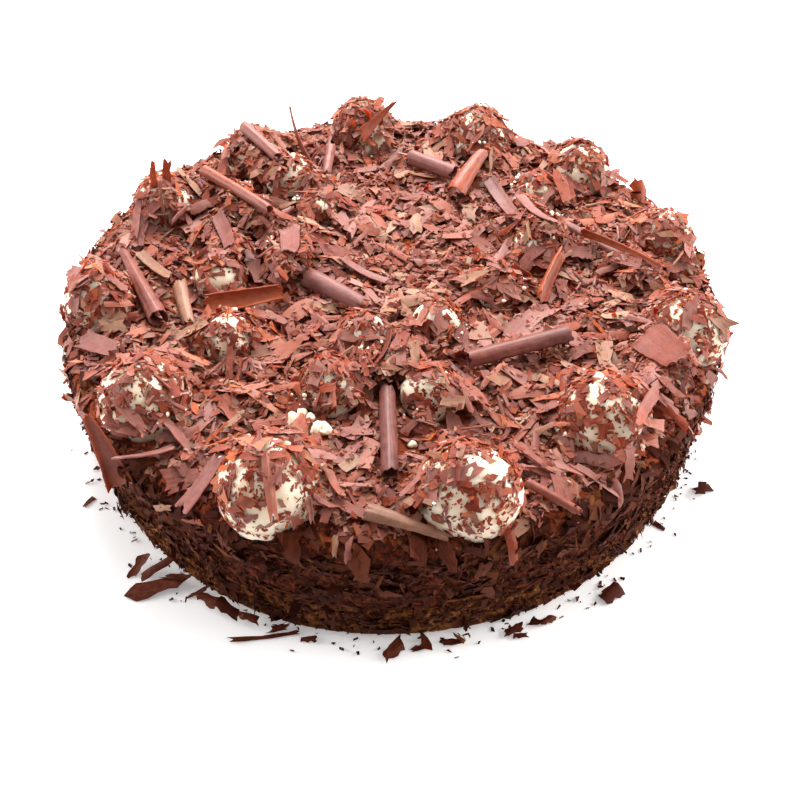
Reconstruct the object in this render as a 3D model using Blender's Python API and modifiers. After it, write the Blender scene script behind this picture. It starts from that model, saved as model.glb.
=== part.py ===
"""A round chocolate mousse cake: a sponge base that shows at the foot, a body of mousse
with chocolate flakes on its top and side, balls of whipped cream round the rim and
across the top, and large loose curls of chocolate.

Metres, +Z up. The origin is the centre of the flat underside."""

import math
import random
from collections import namedtuple

import bmesh
import bpy
from mathutils import Euler, Matrix, Vector
from mathutils.bvhtree import BVHTree

MM = 0.001

# The cake: a 26 cm ring tin, filled to about 5 cm, and a little wider at the top.
TOP_RADIUS = 127.5 * MM
FOOT_RADIUS = 124.5 * MM
CAKE_HEIGHT = 53 * MM
SPONGE_HEIGHT = 18 * MM
SHOULDER_RADIUS = 6 * MM
TOP_RINGS = 5
SHOULDER_ARCS = 3
SPONGE_EDGE = 1.2 * MM
TURN_STEPS = 54
MERGE_DISTANCE = 0.01 * MM
GAP = 0.3 * MM
FIT_GAP = 0.4 * MM

# How uneven the spreading leaves it: the waves round the side as how many go round, their
# share and where they start, and the ripples across the top.
RIM_WAVE = 0.9 * MM
RIM_WAVES = ((3, 0.6, 0.5), (7, 0.4, 2.0))
TOP_WAVE = 0.7 * MM
TOP_RIPPLE = 17 * MM
TOP_RIPPLES_ROUND = 4
TOP_RIPPLE_START = 1.0

# The cream balls: one a little over its own middle above the mousse, and taller than wide.
CREAM_RISE = 0.18
CREAM_STRETCH = 1.07
CREAM_UNEVEN = 0.04
RIM_BALL_STEPS = 14
INNER_BALL_STEPS = 12

# Each ball as bearing in degrees, distance from the axis and radius, both in mm.
RIM_BALLS = (
    (250, 112, 17.0),
    (283, 110, 16.5),
    (314, 104, 16.0),
    (345, 113, 15.5),
    (13, 112, 14.0),
    (43, 112, 14.0),
    (70, 109, 14.5),
    (98, 110, 14.5),
    (126, 107, 13.0),
    (154, 107, 14.0),
    (188, 113, 13.0),
    (218, 109, 15.5),
)
INNER_BALLS = (
    (180, 68, 10.5),
    (149, 76, 10.0),
    (123, 84, 11.0),
    (210, 69, 10.0),
    (250, 64, 11.5),
    (282, 64, 10.5),
    (22, 63, 10.0),
    (44, 86, 9.5),
    (253, 36, 10.0),
    (303, 30, 9.5),
    (352, 42, 9.0),
    (168, 43, 8.5),
    (124, 57, 9.0),
)

# The chocolate: sheets scraped off a block, which wind up as they come off the blade.
CURL_THICKNESS = 0.7 * MM
ROLL_PITCH = 1.3 * MM
SETTLE_STEP = 0.3 * MM
START_CLEAR = 40 * MM
CURL_SHARP_EDGE = math.radians(40)
FLAKE_BED = 2.0 * MM

# How each kind of sheet is shaped: winding across it and bend along it in degrees, how
# wide its far end is, and its grid.
Form = namedtuple("Form", "wrap bend taper along across")
ROLL = Form(430, 0, 1.0, 2, 13)
TUBE = Form(325, 4, 0.85, 2, 9)
CONE = Form(330, 6, 2.4, 3, 10)
TROUGH = Form(160, 14, 0.7, 3, 5)
STRIP = Form(45, 30, 0.8, 4, 2)
BLADE = Form(35, 24, 0.2, 4, 2)
SHARD = Form(20, 16, 0.75, 3, 3)
FOLD = Form(230, 10, 0.6, 3, 6)
HORN = Form(150, 12, 0.3, 3, 4)

# Each large curl: its middle to the right of and behind the axis, the way that it
# points, how far its far end is raised and how far it is turned about its length.
Curl = namedtuple("Curl", "name form right back heading length width raised turned")
CURLS = (
    Curl("roll_right", ROLL, 46, -42, 17, 39, 8.0, 4, 60),
    Curl("roll_front", ROLL, -1, -82, -88, 37, 7.4, 0, 200),
    Curl("roll_back", ROLL, 17, 78, -37, 24, 7.4, 3, 120),
    Curl("cone_left", CONE, -98, -5, -63, 47, 3.6, 2, 200),
    Curl("tube_left_back", TUBE, -65.5, 42, -45, 44, 4.8, 3, 160),
    Curl("tube_right_back", TUBE, 81, 24, -43, 28, 5.0, -3, 130),
    Curl("tube_back_left", TUBE, -58, 74, -52, 27, 5.2, -4, 190),
    Curl("tube_back", TUBE, -29.5, 81, -95, 18, 4.6, -10, 170),
    Curl("tube_small", TUBE, -47.2, 39.8, 41, 12, 3.8, 4, 190),
    Curl("tube_front_right", TUBE, 51.3, -108.3, -33, 19.5, 3.2, -6, 150),
    Curl("trough_middle", TROUGH, -23, -9, -39, 29, 8.4, 3, 200),
    Curl("trough_orange", TROUGH, -57, -15, 11, 28, 8.0, 5, 45),
    Curl("trough_left", TROUGH, -80, -15, -73, 25, 5.8, 3, 200),
    Curl("trough_upright", TROUGH, 61, -1, 67, 24, 7.2, 13, 70),
    Curl("fold_back", FOLD, 32, 66, 61, 26, 9.5, 14, 150),
    Curl("strip_left", STRIP, -95, 6.5, -49, 24, 4.4, 4, 10),
    Curl("strip_back", STRIP, 46.5, 53.5, -73, 33, 6.2, 3, 20),
    Curl("strip_back_right", STRIP, 58, 33, -64, 25, 6.2, 4, -20),
    Curl("strip_thin", STRIP, 90.5, 12, -43, 36, 3.2, 4, 70),
    Curl("strip_ball_left", STRIP, -68, 20, -70, 30, 6.4, 6, 30),
    Curl("strip_ball_right", STRIP, 82.5, -82.5, -119, 22, 4.6, 12, -35),
    Curl("strip_middle", STRIP, -12, 4, 150, 22, 5.0, 5, 15),
    Curl("strip_dark", STRIP, -3, -47, -101, 20, 3.2, 6, 50),
    Curl("blade_back", BLADE, -43.4, 89.3, 140, 25.5, 5.0, 46, 80),
    Curl("blade_back_middle", BLADE, -7, 99, 52, 21, 6.4, 14, 40),
    Curl("blade_left", BLADE, -124.5, 5.5, -27, 17, 6.0, 8, 20),
    Curl("blade_front_left", BLADE, -82, -91.5, -152, 17, 5.5, -16, 30),
    Curl("shard_left", SHARD, -107, -41, -31, 18, 9.0, -4, 14),
    Curl("shard_right", SHARD, 95, -48, -58, 20, 15.0, -8, 25),
    Curl("shard_front_left", SHARD, -61, -104, 54, 20, 6.5, 6, -12),
    Curl("horn_rim_front", HORN, 5, -119.5, -19, 27, 6.2, -3, 190),
    Curl("shard_middle", SHARD, -41, 12, -82, 26, 9.0, 2, 8),
)

# Each curl that leans on the side of the cake: the bearing and height of its middle, how
# steeply it stands (over 90 degrees, its far end leans back) and how far it is turned
# about its length.
SideCurl = namedtuple("SideCurl", "name form bearing height length width slope turned")
SIDE_CURLS = (
    SideCurl("horn_hanging", HORN, 223.5, 56, 29, 9.5, 112, 60),
)

# The flakes that are fused on: how many, and the shortest and longest of each size.
FLAKE_THICKNESS = 0.9 * MM
GOLDEN_ANGLE = math.pi * (3 - math.sqrt(5))
GOLDEN_RATIO = (math.sqrt(5) - 1) / 2
TOP_FLAKES = 144
TOP_FLAKE_MARGIN = 3 * MM
SIDE_FLAKES = 60
SIDE_FLAKES_ABOVE_SPONGE = 5 * MM
SIDE_FLAKES_BELOW_TOP = 3 * MM
BALL_FLAKES = 2
BALL_FLAKE_LEAN = (20, 65)
FLAKE_LENGTH = (9.0, 17.0)
FLAKE_WIDTH = (5.0, 9.0)
FLAKE_TIP = 13
BALL_FLAKE_SCALE = 0.6
FLAKE_LIFT = 0.25 * MM
FLAKE_SHARP_EDGE = math.radians(35)

SPONGE_COLOUR = (0.27, 0.13, 0.045, 1)
MOUSSE_COLOUR = (0.16, 0.055, 0.030, 1)
CREAM_COLOUR = (0.87, 0.80, 0.66, 1)
CHOCOLATE_COLOUR = (0.19, 0.065, 0.040, 1)


def clear_scene():
    for obj in list(bpy.data.objects):
        bpy.data.objects.remove(obj, do_unlink=True)


def new_collection(name):
    collection = bpy.data.collections.new(name)
    bpy.context.scene.collection.children.link(collection)
    return collection


def new_material(name, colour, roughness):
    material = bpy.data.materials.new(name)
    material.use_nodes = True
    shader = material.node_tree.nodes["Principled BSDF"]
    shader.inputs["Base Color"].default_value = colour
    shader.inputs["Roughness"].default_value = roughness
    shader.inputs["Metallic"].default_value = 0.0
    return material


def new_object(name, mesh, collection, material=None):
    obj = bpy.data.objects.new(name, mesh)
    collection.objects.link(obj)
    if material:
        mesh.materials.append(material)
    return obj


def apply_modifiers(obj):
    bpy.context.view_layer.update()
    graph = bpy.context.evaluated_depsgraph_get()
    mesh = bpy.data.meshes.new_from_object(obj.evaluated_get(graph))
    obj.modifiers.clear()
    obj.data = mesh


def side_radius(height):
    return FOOT_RADIUS + (TOP_RADIUS - FOOT_RADIUS) * height / CAKE_HEIGHT


def uneven(point):
    """The cake is spread by hand: slow waves round its side and across its top."""
    bearing = math.atan2(point.y, point.x)
    distance = math.hypot(point.x, point.y)
    wave = sum(share * math.sin(count * bearing + start) for count, share, start in RIM_WAVES)
    scale = 1 + wave * RIM_WAVE / TOP_RADIUS
    lift = 0
    if point.z > CAKE_HEIGHT - SHOULDER_RADIUS / 2:
        round_it = math.sin(TOP_RIPPLES_ROUND * bearing + TOP_RIPPLE_START)
        lift = TOP_WAVE * math.sin(distance / TOP_RIPPLE) * round_it * distance / TOP_RADIUS
    return Vector((point.x * scale, point.y * scale, point.z + lift))


def turned(name, profile, collection, material=None):
    """A closed solid from a profile that runs down its outer side, made uneven."""
    mesh = bpy.data.meshes.new(name)
    outline = bmesh.new()
    verts = [outline.verts.new((radius, 0, height)) for radius, height in profile]
    for upper, lower in zip(verts, verts[1:]):
        outline.edges.new((upper, lower))
    outline.to_mesh(mesh)
    outline.free()
    obj = new_object(name, mesh, collection, material)
    screw = obj.modifiers.new("Turn", "SCREW")
    screw.steps = screw.render_steps = TURN_STEPS
    screw.use_merge_vertices = True
    screw.merge_threshold = MERGE_DISTANCE
    apply_modifiers(obj)
    for vert in obj.data.vertices:
        vert.co = uneven(vert.co)
    obj.data.shade_smooth()
    return obj


def sponge_profile():
    top = side_radius(SPONGE_HEIGHT)
    foot = side_radius(0)
    return [
        (0, SPONGE_HEIGHT),
        (top - SPONGE_EDGE, SPONGE_HEIGHT),
        (top, SPONGE_HEIGHT - SPONGE_EDGE),
        (foot, SPONGE_EDGE),
        (foot - SPONGE_EDGE, 0),
        (0, 0),
    ]


def mousse_profile(swell=0):
    """The mousse from its top centre to its flat underside, swelled out where asked."""
    flat_radius = TOP_RADIUS - SHOULDER_RADIUS
    arc_height = CAKE_HEIGHT - SHOULDER_RADIUS
    reach = SHOULDER_RADIUS + swell
    rings = [(flat_radius * ring / TOP_RINGS, CAKE_HEIGHT + swell) for ring in range(TOP_RINGS)]
    for arc in range(SHOULDER_ARCS + 1):
        angle = math.pi / 2 * (1 - arc / SHOULDER_ARCS)
        rings.append((flat_radius + reach * math.cos(angle), arc_height + reach * math.sin(angle)))
    foot = SPONGE_HEIGHT + GAP
    for height in ((foot + arc_height) / 2, foot):
        rings.append((side_radius(height) + swell, height))
    rings.append((0, foot))
    return rings


def cream_ball(number, place, steps, cutter, collection, material):
    """A ball of whipped cream that is sunk in the mousse up to just under its middle."""
    bearing, distance, radius = math.radians(place[0]), place[1] * MM, place[2] * MM
    draw = random.Random(number)
    mesh = bpy.data.meshes.new(f"cream_ball_{number:02d}")
    ball = bmesh.new()
    bmesh.ops.create_uvsphere(ball, u_segments=steps, v_segments=steps // 2 + 2, radius=radius)
    wide = 1 + draw.uniform(-CREAM_UNEVEN, CREAM_UNEVEN)
    bmesh.ops.scale(ball, vec=(wide, 1 / wide, CREAM_STRETCH), verts=ball.verts)
    ball.to_mesh(mesh)
    ball.free()
    mesh.shade_smooth()
    obj = new_object(mesh.name, mesh, collection, material)
    height = CAKE_HEIGHT + CREAM_RISE * radius
    obj.location = (distance * math.cos(bearing), distance * math.sin(bearing), height)
    obj.rotation_euler.z = draw.uniform(0, math.tau)
    seat = obj.modifiers.new("Seat in the mousse", "BOOLEAN")
    seat.operation = "DIFFERENCE"
    seat.object = cutter
    return obj


def sheet_point(form, along, across, length, width):
    """Where a point of the flat sheet goes: along and across run from -0.5 to 0.5."""
    wrap = math.radians(form.wrap)
    size = 1 + (form.taper - 1) * (along + 0.5)
    if form.wrap < 180:
        radius = width / 2 / math.sin(wrap / 2)
    else:
        radius = (width - CURL_THICKNESS) / 2
    if form.wrap > 360:
        radius -= ROLL_PITCH * (0.5 - across) * form.wrap / 360
    angle = wrap * across
    bend = math.radians(form.bend) * along
    sag = length * bend * along / 2
    side = radius * math.sin(angle) * size
    return Vector((length * along, side, sag - radius * math.cos(angle) * size))


def sheet_mesh(name, form, length, width):
    """The open surface of one curl, which Solidify gives its thickness."""
    mesh = bpy.data.meshes.new(name)
    grid = bmesh.new()
    bmesh.ops.create_grid(grid, x_segments=form.along, y_segments=form.across, size=0.5)
    for vert in grid.verts:
        vert.co = sheet_point(form, vert.co.x, vert.co.y, length, width)
    centre = sum((vert.co for vert in grid.verts), Vector()) / len(grid.verts)
    bmesh.ops.translate(grid, vec=-centre, verts=grid.verts)
    grid.to_mesh(mesh)
    grid.free()
    return mesh


def thicken(obj, thickness):
    shell = obj.modifiers.new("Thickness", "SOLIDIFY")
    shell.thickness = thickness
    shell.offset = 0
    return shell


def outer_surface(obj):
    """The object's points in world space and its faces, as its modifiers leave them."""
    bpy.context.view_layer.update()
    graph = bpy.context.evaluated_depsgraph_get()
    evaluated = obj.evaluated_get(graph)
    mesh = evaluated.to_mesh()
    points = [obj.matrix_world @ vert.co for vert in mesh.vertices]
    faces = [tuple(face.vertices) for face in mesh.polygons]
    evaluated.to_mesh_clear()
    return points, faces


def swelled_surface(obj, swell):
    """outer_surface of the object with its sheet made thicker by swell on each side."""
    shell = obj.modifiers["Thickness"]
    shell.thickness += 2 * swell
    points, faces = outer_surface(obj)
    shell.thickness -= 2 * swell
    return points, faces


def search_tree(surfaces):
    """One tree of several surfaces, to find what a piece would run into."""
    points = []
    faces = []
    for own_points, own_faces in surfaces:
        start = len(points)
        points += own_points
        faces += [tuple(start + index for index in face) for face in own_faces]
    return BVHTree.FromPolygons(points, faces)


def settle(obj, direction, surfaces):
    """Moves the piece along direction until it almost touches what it comes to rest on."""
    points, faces = swelled_surface(obj, FIT_GAP)
    tree = search_tree(surfaces)
    moved = Vector()
    step = direction * SETTLE_STEP
    while not BVHTree.FromPolygons([point + moved + step for point in points], faces).overlap(tree):
        moved += step
    obj.location += moved


def new_curl(curl, collection, material):
    mesh = sheet_mesh(curl.name, curl.form, curl.length * MM, curl.width * MM)
    obj = new_object(curl.name, mesh, collection, material)
    thicken(obj, CURL_THICKNESS)
    mesh.shade_smooth()
    mesh.set_sharp_from_angle(angle=CURL_SHARP_EDGE)
    return obj


def top_curl(curl, surfaces, collection, material):
    """A curl that comes down on the cake's top and its bed of flakes, or on what is there."""
    obj = new_curl(curl, collection, material)
    obj.rotation_euler = [math.radians(turn) for turn in (curl.turned, -curl.raised, curl.heading)]
    obj.location = (curl.right * MM, curl.back * MM, CAKE_HEIGHT + START_CLEAR)
    settle(obj, Vector((0, 0, -1)), surfaces)
    obj.location.z += FLAKE_BED
    return obj


def side_curl(curl, surfaces, collection, material):
    """A curl that leans on the side. Where it isn't turned, its hollow faces outward."""
    obj = new_curl(curl, collection, material)
    bearing = math.radians(curl.bearing)
    outward = Vector((math.cos(bearing), math.sin(bearing), 0))
    level = Vector((-math.sin(bearing), math.cos(bearing), 0))
    slope = math.radians(curl.slope)
    along = level * math.cos(slope) + Vector((0, 0, math.sin(slope)))
    upright = Matrix((along, outward.cross(along), outward)).transposed()
    turned_by = Matrix.Rotation(math.radians(curl.turned), 3, "X")
    obj.rotation_euler = (upright @ turned_by).to_euler()
    obj.location = outward * (TOP_RADIUS + START_CLEAR) + Vector((0, 0, curl.height * MM))
    settle(obj, -outward, surfaces)
    return obj


def place_flake(draw, name, spot, normal, scale, collection):
    """A small flake that lies on the surface at spot, just sunk in it, turned at random."""
    form = draw.choice((STRIP, SHARD, BLADE, TROUGH))
    form = form._replace(along=1 if form is SHARD else 2, across=2 if form is TROUGH else 1)
    length = draw.uniform(*FLAKE_LENGTH) * scale * MM
    width = draw.uniform(*FLAKE_WIDTH) * scale * MM
    mesh = sheet_mesh(name, form, length, width)
    obj = new_object(name, mesh, collection)
    thicken(obj, FLAKE_THICKNESS)
    spin = draw.uniform(0, math.tau)
    tips = [math.radians(draw.uniform(-FLAKE_TIP, FLAKE_TIP)) for _ in range(2)]
    lying = normal.to_track_quat("Z", "Y")
    lying = lying @ Euler((0, 0, spin)).to_quaternion() @ Euler((*tips, 0)).to_quaternion()
    obj.rotation_euler = lying.to_euler()
    obj.location = spot + normal * FLAKE_LIFT
    return obj


def top_spots():
    """Evenly spread spots on the top: each a point above it and the way down."""
    for index in range(TOP_FLAKES):
        distance = (TOP_RADIUS - TOP_FLAKE_MARGIN) * math.sqrt((index + 0.5) / TOP_FLAKES)
        angle = index * GOLDEN_ANGLE
        above = Vector((distance * math.cos(angle), distance * math.sin(angle), 2 * CAKE_HEIGHT))
        yield above, Vector((0, 0, -1))


def side_spots():
    """Evenly spread spots round the side of the mousse, from below its shoulder."""
    low = SPONGE_HEIGHT + SIDE_FLAKES_ABOVE_SPONGE
    high = CAKE_HEIGHT - SIDE_FLAKES_BELOW_TOP
    for index in range(SIDE_FLAKES):
        angle = math.tau * (index + 0.5) / SIDE_FLAKES
        height = low + (high - low) * ((index * GOLDEN_RATIO) % 1)
        outward = Vector((math.cos(angle), math.sin(angle), 0))
        yield outward * 2 * TOP_RADIUS + Vector((0, 0, height)), -outward


def ball_spots(ball):
    """Spots on the upper half of one ball, seen from outside it."""
    reach = ball.dimensions.x
    least, most = BALL_FLAKE_LEAN
    for index in range(BALL_FLAKES):
        lean = math.radians(least + (most - least) * index / (BALL_FLAKES - 1))
        angle = index * GOLDEN_ANGLE + ball.rotation_euler.z
        side = Vector((math.cos(angle), math.sin(angle), 0)) * math.sin(lean)
        outward = side + Vector((0, 0, math.cos(lean)))
        yield ball.location + outward * reach, -outward


def scatter_flakes(base, spots, scale, blocked, collection):
    """Puts a flake at each spot where it stays clear of every other piece."""
    tree = search_tree([outer_surface(base)])
    draw = random.Random(base.name)
    for index, (start, direction) in enumerate(spots):
        spot, normal, _, _ = tree.ray_cast(start, direction)
        name = f"flake_{base.name}_{index}"
        if spot is None:
            continue
        flake = place_flake(draw, name, spot, normal, scale, collection)
        points, faces = swelled_surface(flake, FIT_GAP)
        too_low = min(point.z for point in points) < SPONGE_HEIGHT + GAP
        crossing = BVHTree.FromPolygons(points, faces).overlap(blocked)
        if too_low or crossing or inside(blocked, points):
            bpy.data.objects.remove(flake, do_unlink=True)


def inside(tree, points):
    """True where a point lies inside a closed surface of the tree: it sees a back face."""
    for point in points:
        _, normal, _, _ = tree.ray_cast(point, Vector((0, 0, 1)))
        if normal and normal.z > 0:
            return True
    return False


def keep_largest_shell(obj):
    """Drops loose scraps and sealed hollows: what isn't joined to the biggest surface."""
    shells = bmesh.new()
    shells.from_mesh(obj.data)
    waiting = set(shells.verts)
    groups = []
    while waiting:
        group = {waiting.pop()}
        edge_of_group = list(group)
        while edge_of_group:
            vert = edge_of_group.pop()
            for edge in vert.link_edges:
                other = edge.other_vert(vert)
                if other in waiting:
                    waiting.remove(other)
                    group.add(other)
                    edge_of_group.append(other)
        groups.append(group)
    biggest = max(groups, key=len)
    scraps = [vert for group in groups if group is not biggest for vert in group]
    bmesh.ops.delete(shells, geom=scraps, context="VERTS")
    shells.to_mesh(obj.data)
    shells.free()


def fuse(obj, flakes):
    """Joins every flake of the collection to the object, then removes the collection."""
    union = obj.modifiers.new("Flakes", "BOOLEAN")
    union.operation = "UNION"
    union.operand_type = "COLLECTION"
    union.collection = flakes
    apply_modifiers(obj)
    keep_largest_shell(obj)
    obj.data.shade_smooth()
    obj.data.set_sharp_from_angle(angle=FLAKE_SHARP_EDGE)
    for flake in list(flakes.objects):
        bpy.data.objects.remove(flake, do_unlink=True)
    bpy.data.collections.remove(flakes)


def main():
    clear_scene()
    cake = new_collection("chocolate_mousse_cake")
    cutters = new_collection("cutters")
    sponge = new_material("sponge", SPONGE_COLOUR, 0.9)
    mousse = new_material("chocolate_coat", MOUSSE_COLOUR, 0.6)
    cream = new_material("whipped_cream", CREAM_COLOUR, 0.5)
    chocolate = new_material("milk_chocolate", CHOCOLATE_COLOUR, 0.45)

    turned("sponge_base", sponge_profile(), cake, sponge)
    body = turned("mousse_body", mousse_profile(), cake, mousse)
    cutter = turned("seat_cutter", mousse_profile(FIT_GAP), cutters)
    cutter.hide_render = True
    cutter.display_type = "WIRE"

    rim_balls = [
        cream_ball(number, place, RIM_BALL_STEPS, cutter, cake, cream)
        for number, place in enumerate(RIM_BALLS, start=1)
    ]
    inner_balls = [
        cream_ball(number, place, INNER_BALL_STEPS, cutter, cake, cream)
        for number, place in enumerate(INNER_BALLS, start=1 + len(RIM_BALLS))
    ]
    surfaces = [outer_surface(piece) for piece in [body, *rim_balls, *inner_balls]]
    curls = []
    for make_curl, places in ((top_curl, CURLS), (side_curl, SIDE_CURLS)):
        for curl in places:
            curls.append(make_curl(curl, surfaces, cake, chocolate))
            surfaces.append(outer_surface(curls[-1]))

    around_body = search_tree(surfaces[1:])
    flakes = new_collection("body_flakes")
    scatter_flakes(body, [*top_spots(), *side_spots()], 1, around_body, flakes)
    fuse(body, flakes)
    for ball in rim_balls:
        apply_modifiers(ball)
        around_ball = search_tree([outer_surface(piece) for piece in [body, *curls]])
        flakes = new_collection(ball.name + "_flakes")
        scatter_flakes(ball, ball_spots(ball), BALL_FLAKE_SCALE, around_ball, flakes)
        fuse(ball, flakes)


main()
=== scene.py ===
# %% [markdown]
# # A chocolate mousse cake under a bed of flakes
#
# The cake comes to this lesson as plain solids: a sponge base, a body of mousse, 25 balls
# of whipped cream and 33 large curls of chocolate. Here each of them is dressed, and then
# covered with the thousands of small flakes that hide most of the real cake.
#
# Everything below works in millimetres and becomes metres only when a mesh is made.

import math
import random

import bpy
import numpy as np
from mathutils import Euler, Matrix, Vector, noise


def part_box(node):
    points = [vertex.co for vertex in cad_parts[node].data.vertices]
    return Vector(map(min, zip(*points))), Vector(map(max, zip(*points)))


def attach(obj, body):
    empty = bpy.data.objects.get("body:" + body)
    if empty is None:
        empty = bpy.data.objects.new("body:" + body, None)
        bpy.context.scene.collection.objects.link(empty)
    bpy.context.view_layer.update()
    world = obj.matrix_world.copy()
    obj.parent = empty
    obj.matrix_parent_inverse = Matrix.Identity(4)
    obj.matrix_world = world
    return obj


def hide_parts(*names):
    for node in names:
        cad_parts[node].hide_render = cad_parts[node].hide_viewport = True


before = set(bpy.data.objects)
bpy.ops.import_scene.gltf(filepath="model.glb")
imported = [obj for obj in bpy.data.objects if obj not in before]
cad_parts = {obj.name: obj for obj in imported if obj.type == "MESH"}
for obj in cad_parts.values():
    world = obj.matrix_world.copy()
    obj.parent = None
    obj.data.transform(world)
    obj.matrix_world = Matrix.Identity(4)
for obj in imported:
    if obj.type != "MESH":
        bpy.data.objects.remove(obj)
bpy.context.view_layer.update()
MM = 0.001
print("solids:", len(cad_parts))

# %% [markdown]
# ## One way to make every piece
#
# The flakes have hundreds of thousands of points, far too many to add one at a time. Arrays
# hand them to Blender all at once. Each point may also carry values of its own, such as how
# dark its flake is, which the materials read by name.

# %% From arrays to a piece of the cake
SHARP_EDGE = math.radians(38)


def add_piece(name, points, faces, finish, slot, nodes=(), **values):
    """A mesh from points in mm and faces of equal size, riding on the cake."""
    mesh = bpy.data.meshes.new(name)
    points = np.asarray(points, np.float32).reshape(-1, 3) * MM
    faces = np.asarray(faces, np.int32)
    mesh.vertices.add(len(points))
    mesh.vertices.foreach_set("co", points.ravel())
    mesh.loops.add(faces.size)
    mesh.loops.foreach_set("vertex_index", faces.ravel())
    mesh.polygons.add(len(faces))
    starts = np.arange(0, faces.size, faces.shape[1], dtype=np.int32)
    mesh.polygons.foreach_set("loop_start", starts)
    mesh.update(calc_edges=True)
    for key, value in values.items():
        value = np.asarray(value, np.float32)
        kind, field = ("FLOAT_VECTOR", "vector") if value.ndim == 2 else ("FLOAT", "value")
        mesh.attributes.new(key, kind, "POINT").data.foreach_set(field, value.ravel())
    mesh.shade_smooth()
    mesh.set_sharp_from_angle(angle=SHARP_EDGE)
    mesh.materials.append(finish)
    piece = bpy.data.objects.new(name, mesh)
    bpy.context.scene.collection.objects.link(piece)
    if nodes:
        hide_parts(*nodes)
    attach(piece, "root")
    print(f"{name}: {len(faces) * (faces.shape[1] - 2)} triangles")
    return piece


# %% [markdown]
# ## Finishes
#
# A finish is a small graph of shader nodes. These helpers start one with a Principled
# shader, and add the few kinds of node that all the finishes of this cake share.


# %% Helpers for finishes
class Finish:
    """A material under construction: its node tree and its Principled shader."""

    def __init__(self, name, **sockets):
        self.material = bpy.data.materials.new(name)
        self.material.use_nodes = True
        self.tree = self.material.node_tree
        self.shader = self.tree.nodes["Principled BSDF"]
        for socket, value in sockets.items():
            self.shader.inputs[socket.replace("_", " ")].default_value = value

    def node(self, kind, **inputs):
        made = self.tree.nodes.new("ShaderNode" + kind)
        for name, value in inputs.items():
            socket = made.inputs[name.replace("_", " ")]
            if isinstance(value, bpy.types.NodeSocket):
                self.tree.links.new(value, socket)
            else:
                socket.default_value = value
        return made

    def link(self, output, socket):
        self.tree.links.new(output, self.shader.inputs[socket])

    def place(self):
        """Where a point is on the cake, in metres."""
        return self.node("TexCoord").outputs["Object"]

    def value(self, name, output="Fac"):
        """A value that the mesh carries at each point."""
        reader = self.node("Attribute")
        reader.attribute_name = name
        return reader.outputs[output]

    def noise(self, where, scale, detail=3.0, roughness=0.55):
        """Cloudy noise from 0 to 1 whose blotches are about 1 / scale across."""
        made = self.node("TexNoise", Vector=where, Scale=scale, Detail=detail, Roughness=roughness)
        return made.outputs["Fac"]

    def fit(self, value, to_low, to_high, low=0.3, high=0.7):
        """Stretches a range, by default the one where most of a noise lies, onto another."""
        ranges = {"From_Min": low, "From_Max": high, "To_Min": to_low, "To_Max": to_high}
        return self.node("MapRange", Value=value, **ranges).outputs["Result"]

    def add(self, first, second):
        total = self.tree.nodes.new("ShaderNodeMath")
        total.operation = "ADD"
        self.tree.links.new(first, total.inputs[0])
        self.tree.links.new(second, total.inputs[1])
        return total.outputs[0]

    def mix(self, share, first, second):
        """From the first colour to the second as share goes from 0 to 1."""
        mixed = self.node("MixRGB", Fac=share, Color1=first, Color2=second)
        return mixed.outputs["Color"]

    def ramp(self, value, *stops):
        """Colours along a value: each stop is a place and its (red, green, blue)."""
        ramp = self.node("ValToRGB", Fac=value)
        elements = ramp.color_ramp.elements
        while len(elements) < len(stops):
            elements.new(0.5)
        for element, (place, colour) in zip(elements, stops):
            element.position = place
            element.color = (*colour, 1)
        return ramp.outputs["Color"]

    def bump(self, height, distance, strength=1.0):
        """Bends the shading by a height from 0 to 1 that stands for distance in mm."""
        bump = self.node("Bump", Height=height, Strength=strength, Distance=distance * MM)
        self.link(bump.outputs["Normal"], "Normal")


# %% [markdown]
# ## Chocolate
#
# Scraped milk chocolate is satin, not glossy. The blade leaves fine lines along each
# shaving, fat from the block shows as a greyish pink bloom where light grazes it, and a
# thin edge with light behind it glows orange. So the colour runs from deep brown to a
# dusty pink brown by a value that each flake carries, the lines are bump that follows the
# flake's own length, and a little light passes below the surface. Thin flakes and curls
# also get an orange base colour, which is painted glow for the light that shines through them.


# %% Chocolate finishes
TAN_FROM = (0.86, 0.92)


def chocolate(name, warm, dusty, tan, roughness, glow, shine=0.35):
    """Warm, dusty or tan by a flake's hue, and dark to pale by its tone."""
    finish = Finish(
        name,
        Subsurface_Weight=glow,
        Subsurface_Radius=(1.0, 0.2, 0.07),
        Subsurface_Scale=0.0012,
        Specular_IOR_Level=shine,
    )
    cloud = finish.noise(finish.place(), 420)
    along = finish.node("Mapping", Vector=finish.value("grain", "Vector"), Scale=(0.12, 2.2, 1.0))
    lines = finish.noise(along.outputs["Vector"], 1.0, detail=2.0)
    tone = finish.add(finish.value("tone"), finish.fit(cloud, -0.14, 0.14))
    tone = finish.add(tone, finish.fit(lines, -0.12, 0.12))
    warm, dusty, tan = (finish.ramp(tone, *zip((0.0, 0.5, 1.0), row)) for row in (warm, dusty, tan))
    hue = finish.value("hue")
    colour = finish.mix(finish.fit(hue, 0, 1), warm, dusty)
    finish.link(finish.mix(finish.fit(hue, 0, 1, *TAN_FROM), colour, tan), "Base Color")
    finish.link(finish.fit(cloud, *roughness), "Roughness")
    finish.bump(lines, 0.16, 0.8)
    return finish.material


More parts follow.
